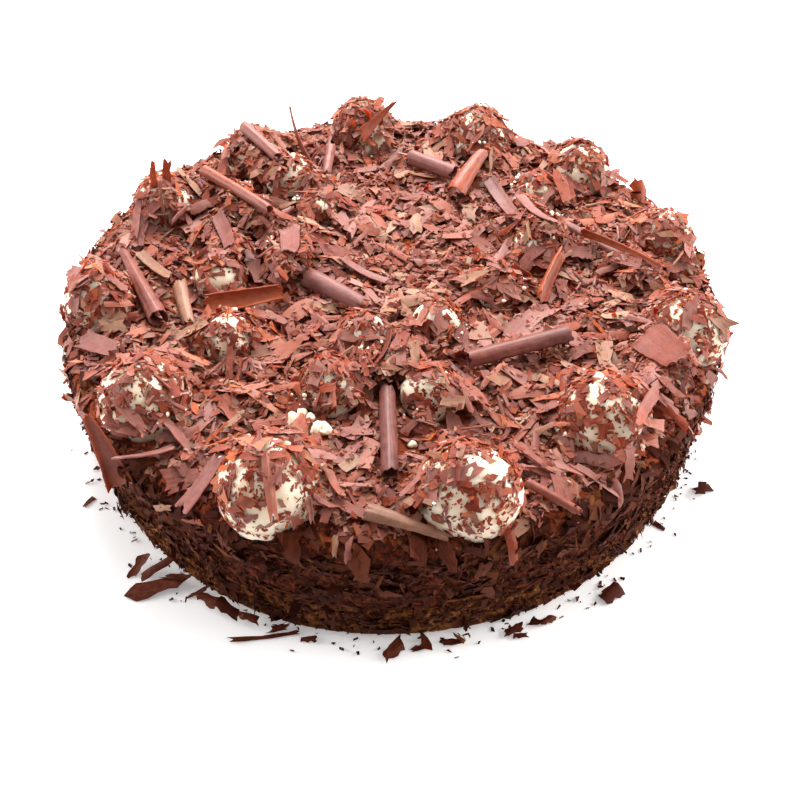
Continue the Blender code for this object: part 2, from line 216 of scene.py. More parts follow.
WARM = ((0.15, 0.016, 0.004), (0.29, 0.062, 0.028), (0.4, 0.155, 0.094))
DUSTY = ((0.15, 0.03, 0.019), (0.265, 0.098, 0.078), (0.355, 0.18, 0.157))
TAN = ((0.18, 0.065, 0.034), (0.31, 0.155, 0.098), (0.42, 0.255, 0.178))
# Painted glow: an orange base colour that stands for light shining through thin chocolate.
PAINTED_GLOW = ((0.17, 0.02, 0.004), (0.35, 0.064, 0.015), (0.5, 0.145, 0.045))
# Painted shade: the chocolate of the side, darkened for the shade that the side stands in.
SHADED = ((0.011, 0.0015, 0.0006), (0.037, 0.006, 0.0024), (0.1, 0.024, 0.011))
SATIN = ((0.1, 0.028, 0.022), (0.22, 0.076, 0.064), (0.34, 0.15, 0.13))
# The side's duller and golden rows are painted shade as well.
SHADED_DULL = ((0.015, 0.0027, 0.0015), (0.046, 0.0105, 0.006), (0.12, 0.037, 0.024))
SHADED_GOLDEN = ((0.035, 0.008, 0.0024), (0.09, 0.024, 0.007), (0.19, 0.065, 0.02))
# Painted shade: the fallen flakes' chocolate, darkened for the shade of the cake at its foot.
FALLEN_SHADED = ((0.022, 0.003, 0.001), (0.072, 0.0115, 0.0045), (0.19, 0.048, 0.022))
FLAKE = chocolate("flake_chocolate", WARM, DUSTY, TAN, (0.42, 0.6), 0.3, 0.22)
# The finish of thin flakes carries the painted glow in its base colour.
GLOW_PAINTED_FLAKE = chocolate("thin_flake_chocolate", PAINTED_GLOW, PAINTED_GLOW, WARM, (0.4, 0.55), 0.45)
# The side's finish, whose colours are painted shade.
SHADED_SIDE_FLAKE = chocolate("side_chocolate", SHADED, SHADED_DULL, SHADED_GOLDEN, (0.5, 0.75), 0.0, 0.04)
# The fallen flakes' finish, in painted shade.
SHADED_FALLEN_FLAKE = chocolate("fallen_chocolate", FALLEN_SHADED, FALLEN_SHADED, SHADED_GOLDEN, (0.4, 0.6), 0.0, 0.12)
FLECK = chocolate("fleck_chocolate", WARM, WARM, DUSTY, (0.5, 0.65), 0.3, 0.12)
CURL = chocolate("curl_chocolate", WARM, SATIN, TAN, (0.42, 0.55), 0.08)
# Thin curls carry the painted glow in their warm colours too.
GLOW_PAINTED_CURL = chocolate("thin_curl_chocolate", PAINTED_GLOW, SATIN, TAN, (0.36, 0.5), 0.35)

# %% [markdown]
# ## Sponge, mousse and cream
#
# The sponge is a golden brown crumb whose pores are darker, as painted shade. The mousse under
# the flakes is only seen as the floor of the gaps, and its dark colour is partly its own and
# partly painted shade for them; its top is paler, as painted light. Whipped cream is nearly
# white, soft and faintly warm, and lets light in deeper than anything else here. Its hollows
# are darker and warmer, as painted shade and painted warm light reflected from the chocolate.


# %% Sponge, mousse and cream finishes
def crumb_finish(name, scale, spread, colours, roughness, depth, browned=0.0, **sockets):
    """Crumb whose low pores are darker, as painted shade, and the clouds that browning in an oven leaves."""
    finish = Finish(name, Specular_IOR_Level=0.05, **sockets)
    crumb = finish.noise(finish.place(), scale, detail=5.0, roughness=0.7)
    tone = finish.add(finish.value("tone"), finish.fit(crumb, -spread, spread))
    if browned:
        clouds = finish.noise(finish.place(), 60, detail=2.0)
        tone = finish.add(tone, finish.fit(clouds, -browned, browned, 0.35, 0.65))
    finish.link(finish.ramp(tone, *colours), "Base Color")
    finish.link(finish.fit(crumb, *roughness, 0.2, 0.8), "Roughness")
    finish.bump(crumb, depth)
    return finish.material


def cream_finish():
    finish = Finish(
        "whipped_cream_finish",
        Subsurface_Weight=0.8,
        Subsurface_Radius=(1.0, 0.8, 0.6),
        Subsurface_Scale=0.004,
    )
    fluff = finish.noise(finish.place(), 260, detail=4.0, roughness=0.6)
    # The darker, warmer low end lies in the fluff's hollows: painted shade, and painted warm light reflected
    # from the chocolate.
    colours = ((0.0, (0.72, 0.5, 0.34)), (0.6, (0.85, 0.7, 0.54)), (1.0, (0.9, 0.8, 0.66)))
    finish.link(finish.ramp(fluff, *colours), "Base Color")
    finish.link(finish.fit(fluff, 0.45, 0.65), "Roughness")
    finish.bump(fluff, 0.35)
    return finish.material


SPONGE_COLOURS = ((0, (0.03, 0.0066, 0.0018)), (0.45, (0.13, 0.038, 0.0105)), (1, (0.32, 0.13, 0.043)))
# The mousse is dark chocolate, darkened further as painted shade for the gaps. Its top end is painted light.
MOUSSE_COLOURS = ((0, (0.016, 0.003, 0.001)), (0.5, (0.06, 0.012, 0.0045)), (1, (0.26, 0.05, 0.018)))
GOLDEN_LIGHT = {"Subsurface_Weight": 0.1, "Subsurface_Radius": (1.0, 0.5, 0.2), "Subsurface_Scale": 0.001}
SPONGE = crumb_finish("sponge_crumb", 700, 0.3, SPONGE_COLOURS, (0.75, 0.95), 0.5, 0.15, **GOLDEN_LIGHT)
MOUSSE = crumb_finish("mousse_crumb", 900, 0.25, MOUSSE_COLOURS, (0.6, 0.9), 0.4)
CREAM = cream_finish()
chocolates = (FLAKE, GLOW_PAINTED_FLAKE, SHADED_SIDE_FLAKE, SHADED_FALLEN_FLAKE, FLECK, CURL, GLOW_PAINTED_CURL)
print("finishes:", [finish.name for finish in (*chocolates, SPONGE, MOUSSE, CREAM)])

# %% [markdown]
# ## The shape of the cake
#
# The same few sizes as in the solids say where the surface is: a 26 cm ring tin, a rounded
# shoulder, and the slow waves that spreading by hand leaves. They are formulas and not a
# mesh, because the flakes will ask for the surface at thousands of places.

# %% Sizes of the cake
TOP_RADIUS = 127.5
FOOT_RADIUS = 124.5
CAKE_HEIGHT = 53.0
SPONGE_HEIGHT = 18.0
SHOULDER = 6.0
SHOULDER_START = CAKE_HEIGHT - SHOULDER
RIM_WAVE = 0.9
LAYER_GAP = 0.3
EMPTY = -1000.0


def polar(distance, bearing):
    """Places (x, y) at a distance and a bearing in radians."""
    return np.stack((distance * np.cos(bearing), distance * np.sin(bearing)), -1)


def rim_wave(bearing):
    """How far the rim swells or shrinks at a bearing, as a share of its radius."""
    waves = 0.6 * np.sin(3 * bearing + 0.5) + 0.4 * np.sin(7 * bearing + 2.0)
    return 1 + waves * RIM_WAVE / TOP_RADIUS


def side_radius(height):
    return FOOT_RADIUS + (TOP_RADIUS - FOOT_RADIUS) * height / CAKE_HEIGHT


def cake_top(x, y):
    """Height of the bare mousse at a place, or EMPTY beyond its rim."""
    distance = np.hypot(x, y)
    bearing = np.arctan2(y, x)
    inward = distance / rim_wave(bearing)
    over = np.clip(inward - (TOP_RADIUS - SHOULDER), 0, SHOULDER)
    ripple = 0.7 * np.sin(distance / 17) * np.sin(4 * bearing + 1) * distance / TOP_RADIUS
    height = SHOULDER_START + np.sqrt(SHOULDER**2 - over**2)
    height = height + np.where(over > 0, 0, ripple)
    return np.where(inward <= TOP_RADIUS, height, EMPTY)


def with_height(places, height):
    """Points from places (x, y) and their height."""
    return np.concatenate((places, np.broadcast_to(height, places.shape[:-1])[..., None]), -1)


def grid_faces(rows, around):
    """The faces between rows of points that each go once around."""
    row, step = np.meshgrid(np.arange(rows - 1), np.arange(around), indexing="ij")
    near, after = row * around + step, row * around + (step + 1) % around
    return np.stack((near, near + around, after + around, after), -1).reshape(-1, 4)


def turned_shell(rings, steps, relief):
    """A solid turned about the cake's axis, pushed outward by what relief(points) says.

    Each ring is its radius, its height, how far outward faces to the side (0 is up, 1 is
    level), and its share of the relief. The tone of each point comes from relief too."""
    bearing = np.linspace(0, math.tau, steps, endpoint=False)
    radius, height, lean, share = np.array(rings).T[:, :, None]
    points = with_height(polar(radius * rim_wave(bearing), bearing), height).reshape(-1, 3)
    outward = with_height(polar(lean, bearing), np.sqrt(1 - lean**2)).reshape(-1, 3)
    push, tone = relief(points)
    push = push * np.repeat(share, steps)
    return points + outward * push[:, None], grid_faces(len(rings), steps), tone


def cloud(points, size, seed=0.0):
    """Smooth noise from about -1 to 1 with blotches of a size in mm."""
    offset = Vector((seed * 17.3, seed * 9.1, seed * 4.7))
    return np.array([noise.noise(Vector(point) / size + offset) for point in points])


print(f"middle of the top: {cake_top(0, 0):.1f} mm high")


# %% [markdown]
# ## The mousse and the sponge
#
# Both are turned shells with fine relief, because both are round and only their surface is
# uneven. On the mousse the relief is crumb: small lumps that stick out by up to a millimetre.

# %% Mousse core
TINY = 0.02
TOP_RING_STEP = 12.0
TOP_RELIEF = 0.6
MOUSSE_STEPS = 420


def mousse_rings():
    """From the middle of the top over the shoulder to the underside."""
    flat = TOP_RADIUS - SHOULDER
    rings = [(TINY, CAKE_HEIGHT, 0, TOP_RELIEF)]
    for radius in np.arange(TOP_RING_STEP, flat, TOP_RING_STEP):
        rings.append((radius, CAKE_HEIGHT, 0, TOP_RELIEF))
    for angle in np.radians(np.linspace(90, 0, 7)):
        place = (flat + SHOULDER * math.cos(angle), SHOULDER_START + SHOULDER * math.sin(angle))
        rings.append((*place, math.cos(angle), 1.0))
    foot = SPONGE_HEIGHT + LAYER_GAP
    for height in np.arange(SHOULDER_START - 1, foot, -1.0):
        rings.append((side_radius(height), height, 1, 1.0))
    rings += [(side_radius(foot), foot, 1, 0.3), (TINY, foot, 1, 0)]
    return rings


def crumb_relief(points):
    """Coarse and fine lumps in mm, and as tone: painted shade in hollows, painted light on top."""
    coarse = cloud(points, 3.2, 1)
    fine = cloud(points, 1.3, 2)
    painted_top_light = np.where(points[:, 2] > CAKE_HEIGHT - SHOULDER / 2, 0.4, 0.0)
    return 0.55 * coarse + 0.5 * fine, 0.5 + painted_top_light + 0.35 * coarse + 0.25 * fine


points, faces, tone = turned_shell(mousse_rings(), MOUSSE_STEPS, crumb_relief)
add_piece("mousse", points, faces, MOUSSE, "chocolate_coat", ["mousse_body"], tone=tone)

# %% [markdown]
# The sponge was cut with a knife, so its lumps are low, but its air bubbles leave pits. The
# pits are made by pushing only the lowest parts of a noise inward, which leaves the cut face
# between them nearly flat.

# %% Sponge base
SPONGE_STEPS = 720


def sponge_rings():
    """From the middle of its top down its side, with both edges a little rounded."""
    rings = [(TINY, SPONGE_HEIGHT, 0, 0), (side_radius(SPONGE_HEIGHT) - 1, SPONGE_HEIGHT, 0, 0)]
    for height in np.arange(SPONGE_HEIGHT - 0.6, 0.9, -0.75):
        rings.append((side_radius(height), height, 1, 1.0))
    rings += [(side_radius(0.3) - 0.2, 0.35, 1, 0.5), (side_radius(0) - 1.2, 0, 1, 0), (TINY, 0, 1, 0)]
    return rings


def sponge_relief(points):
    """Low lumps, fine crumb, and pits that are deep and darker too, as painted shade."""
    lumps = cloud(points, 4.0, 3)
    bubbles = np.minimum(cloud(points, 1.7, 4) + 0.18, 0)
    crumb = cloud(points, 0.9, 5)
    return 0.35 * lumps + 2.2 * bubbles + 0.3 * crumb, 0.55 + 0.2 * lumps + 0.9 * bubbles + 0.2 * crumb


points, faces, tone = turned_shell(sponge_rings(), SPONGE_STEPS, sponge_relief)
add_piece("sponge", points, faces, SPONGE, "sponge", ["sponge_base"], tone=tone)

# %% [markdown]
# ## Balls of whipped cream
#
# The balls are scooped and set on the mousse, which they sink into. Each is an ellipsoid
# with soft lumps, and where it would go below the mousse it is pressed flat on it. The
# bearing, distance and radius are those of the solid. The last two numbers say what share
# of the ball stays bare and to which side most of the bare part faces.

# %% The table of balls
# bearing, distance from the axis, radius, bare share, bearing of the bare side
BALLS = (
    (250, 112, 17.0, 0.43, 268),
    (283, 110, 16.5, 0.61, 290),
    (314, 104, 16.0, 0.5, 285),
    (345, 113, 15.5, 0.5, 340),
    (13, 112, 14.0, 0.34, 330),
    (43, 112, 14.0, 0.42, 300),
    (70, 109, 14.5, 0.36, 290),
    (98, 110, 14.5, 0.26, 110),
    (126, 107, 13.0, 0.2, 300),
    (154, 107, 14.0, 0.22, 270),
    (188, 113, 13.0, 0.26, 250),
    (218, 109, 15.5, 0.32, 230),
    (180, 68, 10.5, 0.6, 300),
    (149, 76, 10.0, 0.26, 20),
    (123, 84, 11.0, 0.66, 200),
    (210, 69, 10.0, 0.28, 200),
    (250, 64, 11.5, 0.34, 340),
    (282, 64, 10.5, 0.36, 200),
    (22, 63, 10.0, 0.36, 250),
    (44, 86, 9.5, 0.38, 270),
    (253, 36, 10.0, 0.36, 20),
    (303, 30, 9.5, 0.24, 180),
    (352, 42, 9.0, 0.2, 190),
    (168, 43, 8.5, 0.26, 200),
    (124, 57, 9.0, 0.44, 60),
)
BALL_RISE = 0.18
BALL_STRETCH = 1.07
LARGE_BALL = 12.0
POLE = 0.02


# %% The balls
class Ball:
    """An ellipsoid: where it is, how it is turned and how it is covered."""

    def __init__(self, number, row):
        bearing, distance, self.radius, self.bare, facing = row
        draw = random.Random(number)
        wide = 1 + draw.uniform(-0.04, 0.04)
        turn = draw.uniform(0, math.tau)
        self.name = f"cream_ball_{number:02d}"
        place = polar(distance, math.radians(bearing))
        self.centre = with_height(place, CAKE_HEIGHT + BALL_RISE * self.radius)
        self.radii = self.radius * np.array((wide, 1 / wide, BALL_STRETCH))
        self.turn = np.array(Matrix.Rotation(turn, 3, "Z"))
        self.facing = with_height(polar(1, math.radians(facing)), 0)

    def surface(self, ways):
        """The points and outward normals of the ball where unit ways from its middle leave it."""
        points = self.centre + (ways * self.radii) @ self.turn.T
        normals = (ways / self.radii) @ self.turn.T
        return points, normals / np.linalg.norm(normals, axis=-1, keepdims=True)

    def is_bare(self, points, outward):
        """Which points are in the openings of its cover, by two sizes of noise."""
        patches = 0.55 * cloud(points, 6.5, 9) + 0.85 * cloud(points, 2.4, 11)
        return patches + 0.3 * (outward @ self.facing) > 0.45 - 0.85 * self.bare

    def height(self, x, y):
        """Height of the ball's top at a place, or EMPTY beside it."""
        flat = np.stack((x - self.centre[0], y - self.centre[1]), -1) @ self.turn[:2, :2]
        share = 1 - ((flat / self.radii[:2]) ** 2).sum(-1)
        return np.where(share > 0, self.centre[2] + self.radii[2] * np.sqrt(np.maximum(share, 0)), EMPTY)


balls = [Ball(number, row) for number, row in enumerate(BALLS, start=1)]


def sphere_ways(around, down):
    """Unit vectors on a grid from the top of a sphere to its foot."""
    lean = np.linspace(POLE, math.pi - POLE, down)[:, None]
    turn = np.arange(around) * math.tau / around
    return with_height(polar(np.sin(lean), turn), np.cos(lean)).reshape(-1, 3)


for ball in balls:
    around, down = (48, 28) if ball.radius > LARGE_BALL else (36, 20)
    ways = sphere_ways(around, down)
    points, normals = ball.surface(ways)
    swell = 1.3 * cloud(points, 9.0, 6) + 0.5 * cloud(points, 3.5, 7)
    points = points + normals * swell[:, None]
    seat = np.maximum(cake_top(points[:, 0], points[:, 1]), CAKE_HEIGHT - SHOULDER) + LAYER_GAP
    points[:, 2] = np.maximum(points[:, 2], seat)
    add_piece("whipped_" + ball.name, points, grid_faces(down, around), CREAM, "whipped_cream", [ball.name])

# %% [markdown]
# ## Sheets of chocolate
#
# Every curl and every flake is a thin sheet that was scraped off a block. A sheet is a grid
# of middle points. It gets its two faces by stepping half its thickness along its normals,
# and it is closed by a rim, which is thinner than the middle, as a torn edge is.


# %% From middle points to closed sheets
def sheet_normals(middle):
    """Unit normals of many sheets at once: middle is (sheets, rows, columns, 3)."""
    along = np.gradient(middle, axis=1)
    across = np.gradient(middle, axis=2)
    normals = np.cross(along, across)
    return normals / np.maximum(np.linalg.norm(normals, axis=-1, keepdims=True), 1e-9)


def sheet_faces(rows, columns):
    """The faces of one closed sheet whose lower points follow its upper ones."""
    index = np.arange(rows * columns).reshape(rows, columns)
    upper = np.stack((index[:-1, :-1], index[1:, :-1], index[1:, 1:], index[:-1, 1:]), -1).reshape(-1, 4)
    lower = upper[:, ::-1] + rows * columns
    edge = np.concatenate((index[0, :-1], index[:-1, -1], index[-1, :0:-1], index[:0:-1, 0]))
    following = np.roll(edge, -1)
    rim = np.stack((edge, following, following + rows * columns, edge + rows * columns), -1)
    return np.concatenate((upper, lower, rim))


def closed_sheets(middle, thickness, rim=0.5):
    """The points and faces of many sheets, each thickness mm thick and thinner at its rim."""
    count, rows, columns, _ = middle.shape
    half = np.full((rows, columns), 0.5)
    half[[0, -1]] *= rim
    half[:, [0, -1]] *= rim
    half = half[None] * np.reshape(thickness, (-1, 1, 1))
    step = sheet_normals(middle) * half[..., None]
    points = np.stack((middle + step, middle - step), 1).reshape(-1, 3)
    faces = sheet_faces(rows, columns)
    offset = np.arange(count)[:, None, None] * (2 * rows * columns)
    return points, (faces[None] + offset).reshape(-1, 4)


# %% [markdown]
# ## The large curls
#
# A sheet winds up as it comes off the blade, the more the thinner it is. A roll is wound
# more than once round, a tube nearly once, a trough about half. The table repeats how each
# solid curl is shaped and turned. Where it lies is read from the solid, whose box the new
# sheet is centred on. Ends and edges are torn, and ridges run along the sheet.

# %% Forms and the table of curls
CURL_THICKNESS = 0.7
ROLL_PITCH = 1.3
NIBBLE = 0.09
RIDGE = 0.06
# wound across and bent along in degrees, how much wider the far end is, points along and across
FORMS = {
    "roll": (430, 0, 1.0, 30, 60),
    "tube": (325, 4, 0.85, 24, 44),
    "cone": (330, 6, 2.4, 30, 44),
    "trough": (160, 14, 0.7, 24, 24),
    "strip": (45, 30, 0.8, 26, 10),
    "blade": (35, 24, 0.2, 22, 10),
    "shard": (20, 16, 0.75, 18, 16),
    "fold": (230, 10, 0.6, 22, 30),
    "horn": (150, 12, 0.3, 24, 22),
}
# name, which begins with the form, heading, length, width, raised, turned, finish, tone, hue
CURLS = (
    ("roll_right", 17, 39, 8.0, 4, 60, CURL, 0.2, 0.6),
    ("roll_front", -88, 37, 7.4, 0, 200, CURL, 0.22, 0.8),
    ("roll_back", -37, 24, 7.4, 3, 120, CURL, 0.5, 0.8),
    ("cone_left", -63, 47, 3.6, 2, 200, CURL, 0.4, 0.6),
    ("tube_left_back", -45, 44, 4.8, 3, 160, GLOW_PAINTED_CURL, 0.5, 0.55),
    ("tube_right_back", -43, 28, 5.0, -3, 130, CURL, 0.55, 0.8),
    ("tube_back_left", -52, 27, 5.2, -4, 190, CURL, 0.5, 0.6),
    ("tube_back", -95, 18, 4.6, -10, 170, CURL, 0.6, 0.7),
    ("tube_small", 41, 12, 3.8, 4, 190, CURL, 0.5, 0.7),
    ("tube_front_right", -33, 19.5, 3.2, -6, 150, CURL, 0.4, 0.5),
    ("trough_middle", -39, 29, 8.4, 3, 200, CURL, 0.45, 0.75),
    ("trough_orange", 11, 28, 8.0, 5, 45, GLOW_PAINTED_CURL, 0.55, 0.4),
    ("trough_left", -73, 25, 5.8, 3, 200, CURL, 0.4, 1.0),
    ("trough_upright", 67, 24, 7.2, 13, 70, GLOW_PAINTED_CURL, 0.4, 0.3),
    ("fold_back", 61, 26, 9.5, 14, 150, GLOW_PAINTED_CURL, 0.5, 0.45),
    ("strip_left", -49, 24, 4.4, 4, 10, CURL, 0.35, 1.0),
    ("strip_back", -73, 33, 6.2, 3, 20, CURL, 0.5, 0.7),
    ("strip_back_right", -64, 25, 6.2, 4, -20, CURL, 0.75, 0.75),
    ("strip_thin", -43, 36, 3.2, 4, 70, GLOW_PAINTED_CURL, 0.3, 0.2),
    ("strip_ball_left", -70, 30, 6.4, 6, 30, CURL, 0.45, 0.8),
    ("strip_ball_right", -119, 22, 4.6, 12, -35, CURL, 0.4, 0.4),
    ("strip_middle", 150, 22, 5.0, 5, 15, CURL, 0.5, 0.8),
    ("strip_dark", -101, 20, 3.2, 6, 50, CURL, 0.1, 0.4),
    ("blade_back", 140, 25.5, 5.0, 46, 80, CURL, 0.45, 0.5),
    ("blade_back_middle", 52, 21, 6.4, 14, 40, GLOW_PAINTED_CURL, 0.5, 0.4),
    ("blade_left", -27, 17, 6.0, 8, 20, CURL, 0.5, 0.7),
    ("blade_front_left", -152, 17, 5.5, -16, 30, CURL, 0.75, 0.8),
    ("shard_left", -31, 18, 9.0, -4, 14, CURL, 0.5, 0.7),
    ("shard_right", -58, 20, 15.0, -8, 25, CURL, 0.12, 0.3),
    ("shard_front_left", 54, 20, 6.5, 6, -12, CURL, 0.5, 0.7),
    ("shard_middle", -82, 26, 9.0, 2, 8, CURL, 0.5, 0.7),
    ("horn_rim_front", -19, 27, 6.2, -3, 190, CURL, 0.2, 1.0),
)
# name, bearing, length, width, slope, turned, finish, tone, hue
SIDE_CURLS = (("horn_hanging", 223.5, 29, 9.5, 112, 60, GLOW_PAINTED_CURL, 0.25, 0.4),)


# %% How a curl is turned and wound
def lay_along(bearing, slope, turned):
    """How a curl that leans on the side is turned: unturned, its hollow faces outward."""
    bearing, slope = math.radians(bearing), math.radians(slope)
    outward = Vector((math.cos(bearing), math.sin(bearing), 0))
    level = Vector((-math.sin(bearing), math.cos(bearing), 0))
    along = level * math.cos(slope) + Vector((0, 0, math.sin(slope)))
    upright = Matrix((along, outward.cross(along), outward)).transposed()
    return upright @ Matrix.Rotation(math.radians(turned), 3, "X")


def smooth_draws(draw, count, over):
    """Random numbers, each the mean of a few neighbours."""
    return np.convolve(draw.normal(0, 1, count + over - 1), np.ones(over) / over, "valid")


def wound_sheet(draw, form, length, width):
    """Middle points of one curl, rows along its length, with torn ends and edges."""
    wrap, bend, taper, rows, columns = FORMS[form]
    wrap, bend = math.radians(wrap), math.radians(bend)
    along, across = np.meshgrid(np.linspace(-0.5, 0.5, rows), np.linspace(-0.5, 0.5, columns), indexing="ij")
    tear = smooth_draws(draw, columns, 5)
    tear += 0.15 * draw.normal(0, 1, columns)
    nibble = smooth_draws(draw, rows, 5) * NIBBLE
    inward = 1 - np.abs(nibble)[:, None] * (2 * np.abs(across)) ** 3
    size = 1 + (taper - 1) * (along + 0.5)
    radius = width / 2 / math.sin(wrap / 2) if wrap < math.pi else (width - CURL_THICKNESS) / 2
    if wrap > math.tau:
        radius = radius - ROLL_PITCH * (0.5 - across) * wrap / math.tau
    ridges = RIDGE * smooth_draws(draw, columns, 3)
    radius = radius + ridges + 0.05 * np.sin(along * length / 0.9)
    angle = wrap * across * inward
    raggedness = 0.9 if wrap > math.pi else 1.5
    x = length * along + tear * raggedness * (2 * along) ** 5
    y = radius * np.sin(angle) * size
    z = length * bend * along**2 / 2 - radius * np.cos(angle) * size
    grain = np.stack((length * along, width * 2 * across, 0 * along), -1)
    return np.stack((x, y, z), -1), grain


# %% Add the curls
# below TAN_FROM, so that only curls of hue 1 turn tan
NEVER_TAN = 0.84


def add_curl(name, length, width, turn, finish, tone, hue):
    """A curl centred on its solid. Returns its middle points, to lay flakes round it."""
    draw = np.random.default_rng(len(name) * 1000 + int(length * 10 + width))
    middle, grain = wound_sheet(draw, name.split("_")[0], length, width)
    middle = middle @ np.array(turn).T
    points, faces = closed_sheets(middle[None], CURL_THICKNESS)
    low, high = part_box(name)
    solid_middle = np.array((low + high) / 2) / MM
    shift = solid_middle - (points.min(0) + points.max(0)) / 2
    points = points + shift
    tones = tone + 0.12 * cloud(points, 6.0, 8)
    palest = 1 if hue == 1 else NEVER_TAN
    hues = np.clip(hue + 0.15 * cloud(points, 12.0, 10), 0, palest)
    grains = np.concatenate((grain.reshape(-1, 3),) * 2)
    values = {"tone": tones, "hue": hues, "grain": grains}
    add_piece("chocolate_" + name, points, faces, finish, "milk_chocolate", [name], **values)
    return middle + shift


curl_sheets = {}
for name, heading, length, width, raised, turned, *look in CURLS:
    turn = Euler([math.radians(angle) for angle in (turned, -raised, heading)]).to_matrix()
    curl_sheets[name] = add_curl(name, length, width, turn, *look)
for name, bearing, length, width, slope, turned, *look in SIDE_CURLS:
    curl_sheets[name] = add_curl(name, length, width, lay_along(bearing, slope, turned), *look)

# %% [markdown]
# ## The shape of a flake
#
# A flake is a broken piece of shaving: longer than wide, wider at one end, cut askew, its
# edges torn, slightly wound across, bent and twisted. All flakes of a kind are made at
# once, lying flat about the origin with their length along x.


# %% Flakes, many at once
def flake_sheets(draw, lengths, widths, rows, columns, wound, bent=0.2):
    """Middle points of many flakes, as (flakes, rows, columns, 3). Wound is in degrees."""
    count = len(lengths)
    along = np.linspace(-0.5, 0.5, rows)[None, :, None]
    across = np.linspace(-0.5, 0.5, columns)[None, None, :]
    each = (count, 1, 1)
    torn = 1 - 0.5 * draw.random((count, rows, 2))
    edge = np.where(across < 0, torn[:, :, :1], torn[:, :, 1:])
    taper = 1 + draw.uniform(-0.6, 0.6, each) * along
    jag = draw.normal(0, 0.08, (count, rows, columns)) * np.abs(2 * along) ** 3
    skew = draw.uniform(-0.5, 0.5, each)
    lengths, widths = np.reshape(lengths, each), np.reshape(widths, each)
    flat_x = lengths * (along + jag) + skew * widths * across
    flat_y = widths * across * edge * taper
    wrap = np.radians(draw.uniform(*wound, each)) * draw.choice((-1, 1), each)
    angle = wrap * flat_y / widths
    radius = widths / wrap
    bend = draw.normal(0, bent, each)
    twist = draw.normal(0, bent, each) * 2 * along
    y = radius * np.sin(angle)
    z = radius * (1 - np.cos(angle)) + bend * flat_x**2 / lengths / 2
    cos, sin = np.cos(twist), np.sin(twist)
    middle = np.stack((flat_x, y * cos - z * sin, y * sin + z * cos), -1)
    return middle - middle.mean((1, 2), keepdims=True)


def flake_values(draw, middle, tones, hues):
    """The tone, hue and grain that each point of closed flakes carries."""
    count, rows, columns, _ = middle.shape
    each = 2 * rows * columns
    grain = middle.copy()
    grain[..., 2] = draw.uniform(0, 500, (count, 1, 1))
    grain = np.stack((grain, grain), 1).reshape(-1, 3)
    return {"tone": np.repeat(tones, each), "hue": np.repeat(hues, each), "grain": grain}


# %% [markdown]
# ## Laying flakes one by one
#
# Flakes that fall on a cake come to rest on what is there already. A bed is a map of how
# high the heap stands in each small cell. A flake finds the slope under it, leans a little
# away from that slope at random, drops until it touches, and then raises the map. A few of
# its points may sink in, because a real heap gives way. It is left out where too much of it
# would hang over an edge, or where it would hit the underside of a large curl.

# %% The bed
CELL = 0.6
BORNE_SHARE = 0.62
STEEPEST = 0.6
CALM = 0.05
CLEAR_OF_CURLS = 0.4


class Bed:
    """Heights of a heap over a rectangle of square cells, which may go round in x.

    Sink is the share of a flake's points that may be lower than the heap."""

    def __init__(self, low, high, goes_round=False, sink=0.3):
        self.low = np.array(low, float)
        self.sink = sink
        self.shape = np.ceil((np.array(high) - self.low) / CELL).astype(int)
        self.goes_round = goes_round
        self.heights = np.full(self.shape.prod(), EMPTY)
        self.ceiling = np.full(self.shape.prod(), -EMPTY)

    def middles(self):
        x, y = np.meshgrid(*((np.arange(count) + 0.5) * CELL for count in self.shape), indexing="ij")
        return (x + self.low[0]).ravel(), (y + self.low[1]).ravel()

    def cells(self, x, y):
        column = ((x - self.low[0]) / CELL).astype(int)
        row = np.clip(((y - self.low[1]) / CELL).astype(int), 0, self.shape[1] - 1)
        if self.goes_round:
            column %= self.shape[0]
        else:
            column = np.clip(column, 0, self.shape[0] - 1)
        return column * self.shape[1] + row

    def keep_off(self, points):
        """Nothing laid from now on may come close to these points from below."""
        highest = points[:, 2] - CLEAR_OF_CURLS
        np.minimum.at(self.ceiling, self.cells(points[:, 0], points[:, 1]), highest)


# %% Lay flakes on a bed
def spread_samples(rows, columns, finer):
    """Weights that turn a sheet's points into a denser grid of points on it."""

    def along(count):
        place = np.linspace(0, count - 1, (count - 1) * finer + 1)
        whole = np.minimum(place.astype(int), count - 2)
        weights = np.zeros((len(place), count))
        weights[np.arange(len(place)), whole] = 1 - (place - whole)
        weights[np.arange(len(place)), whole + 1] = place - whole
        return weights

    return np.einsum("ia,jb->ijab", along(rows), along(columns)).reshape(-1, rows * columns)


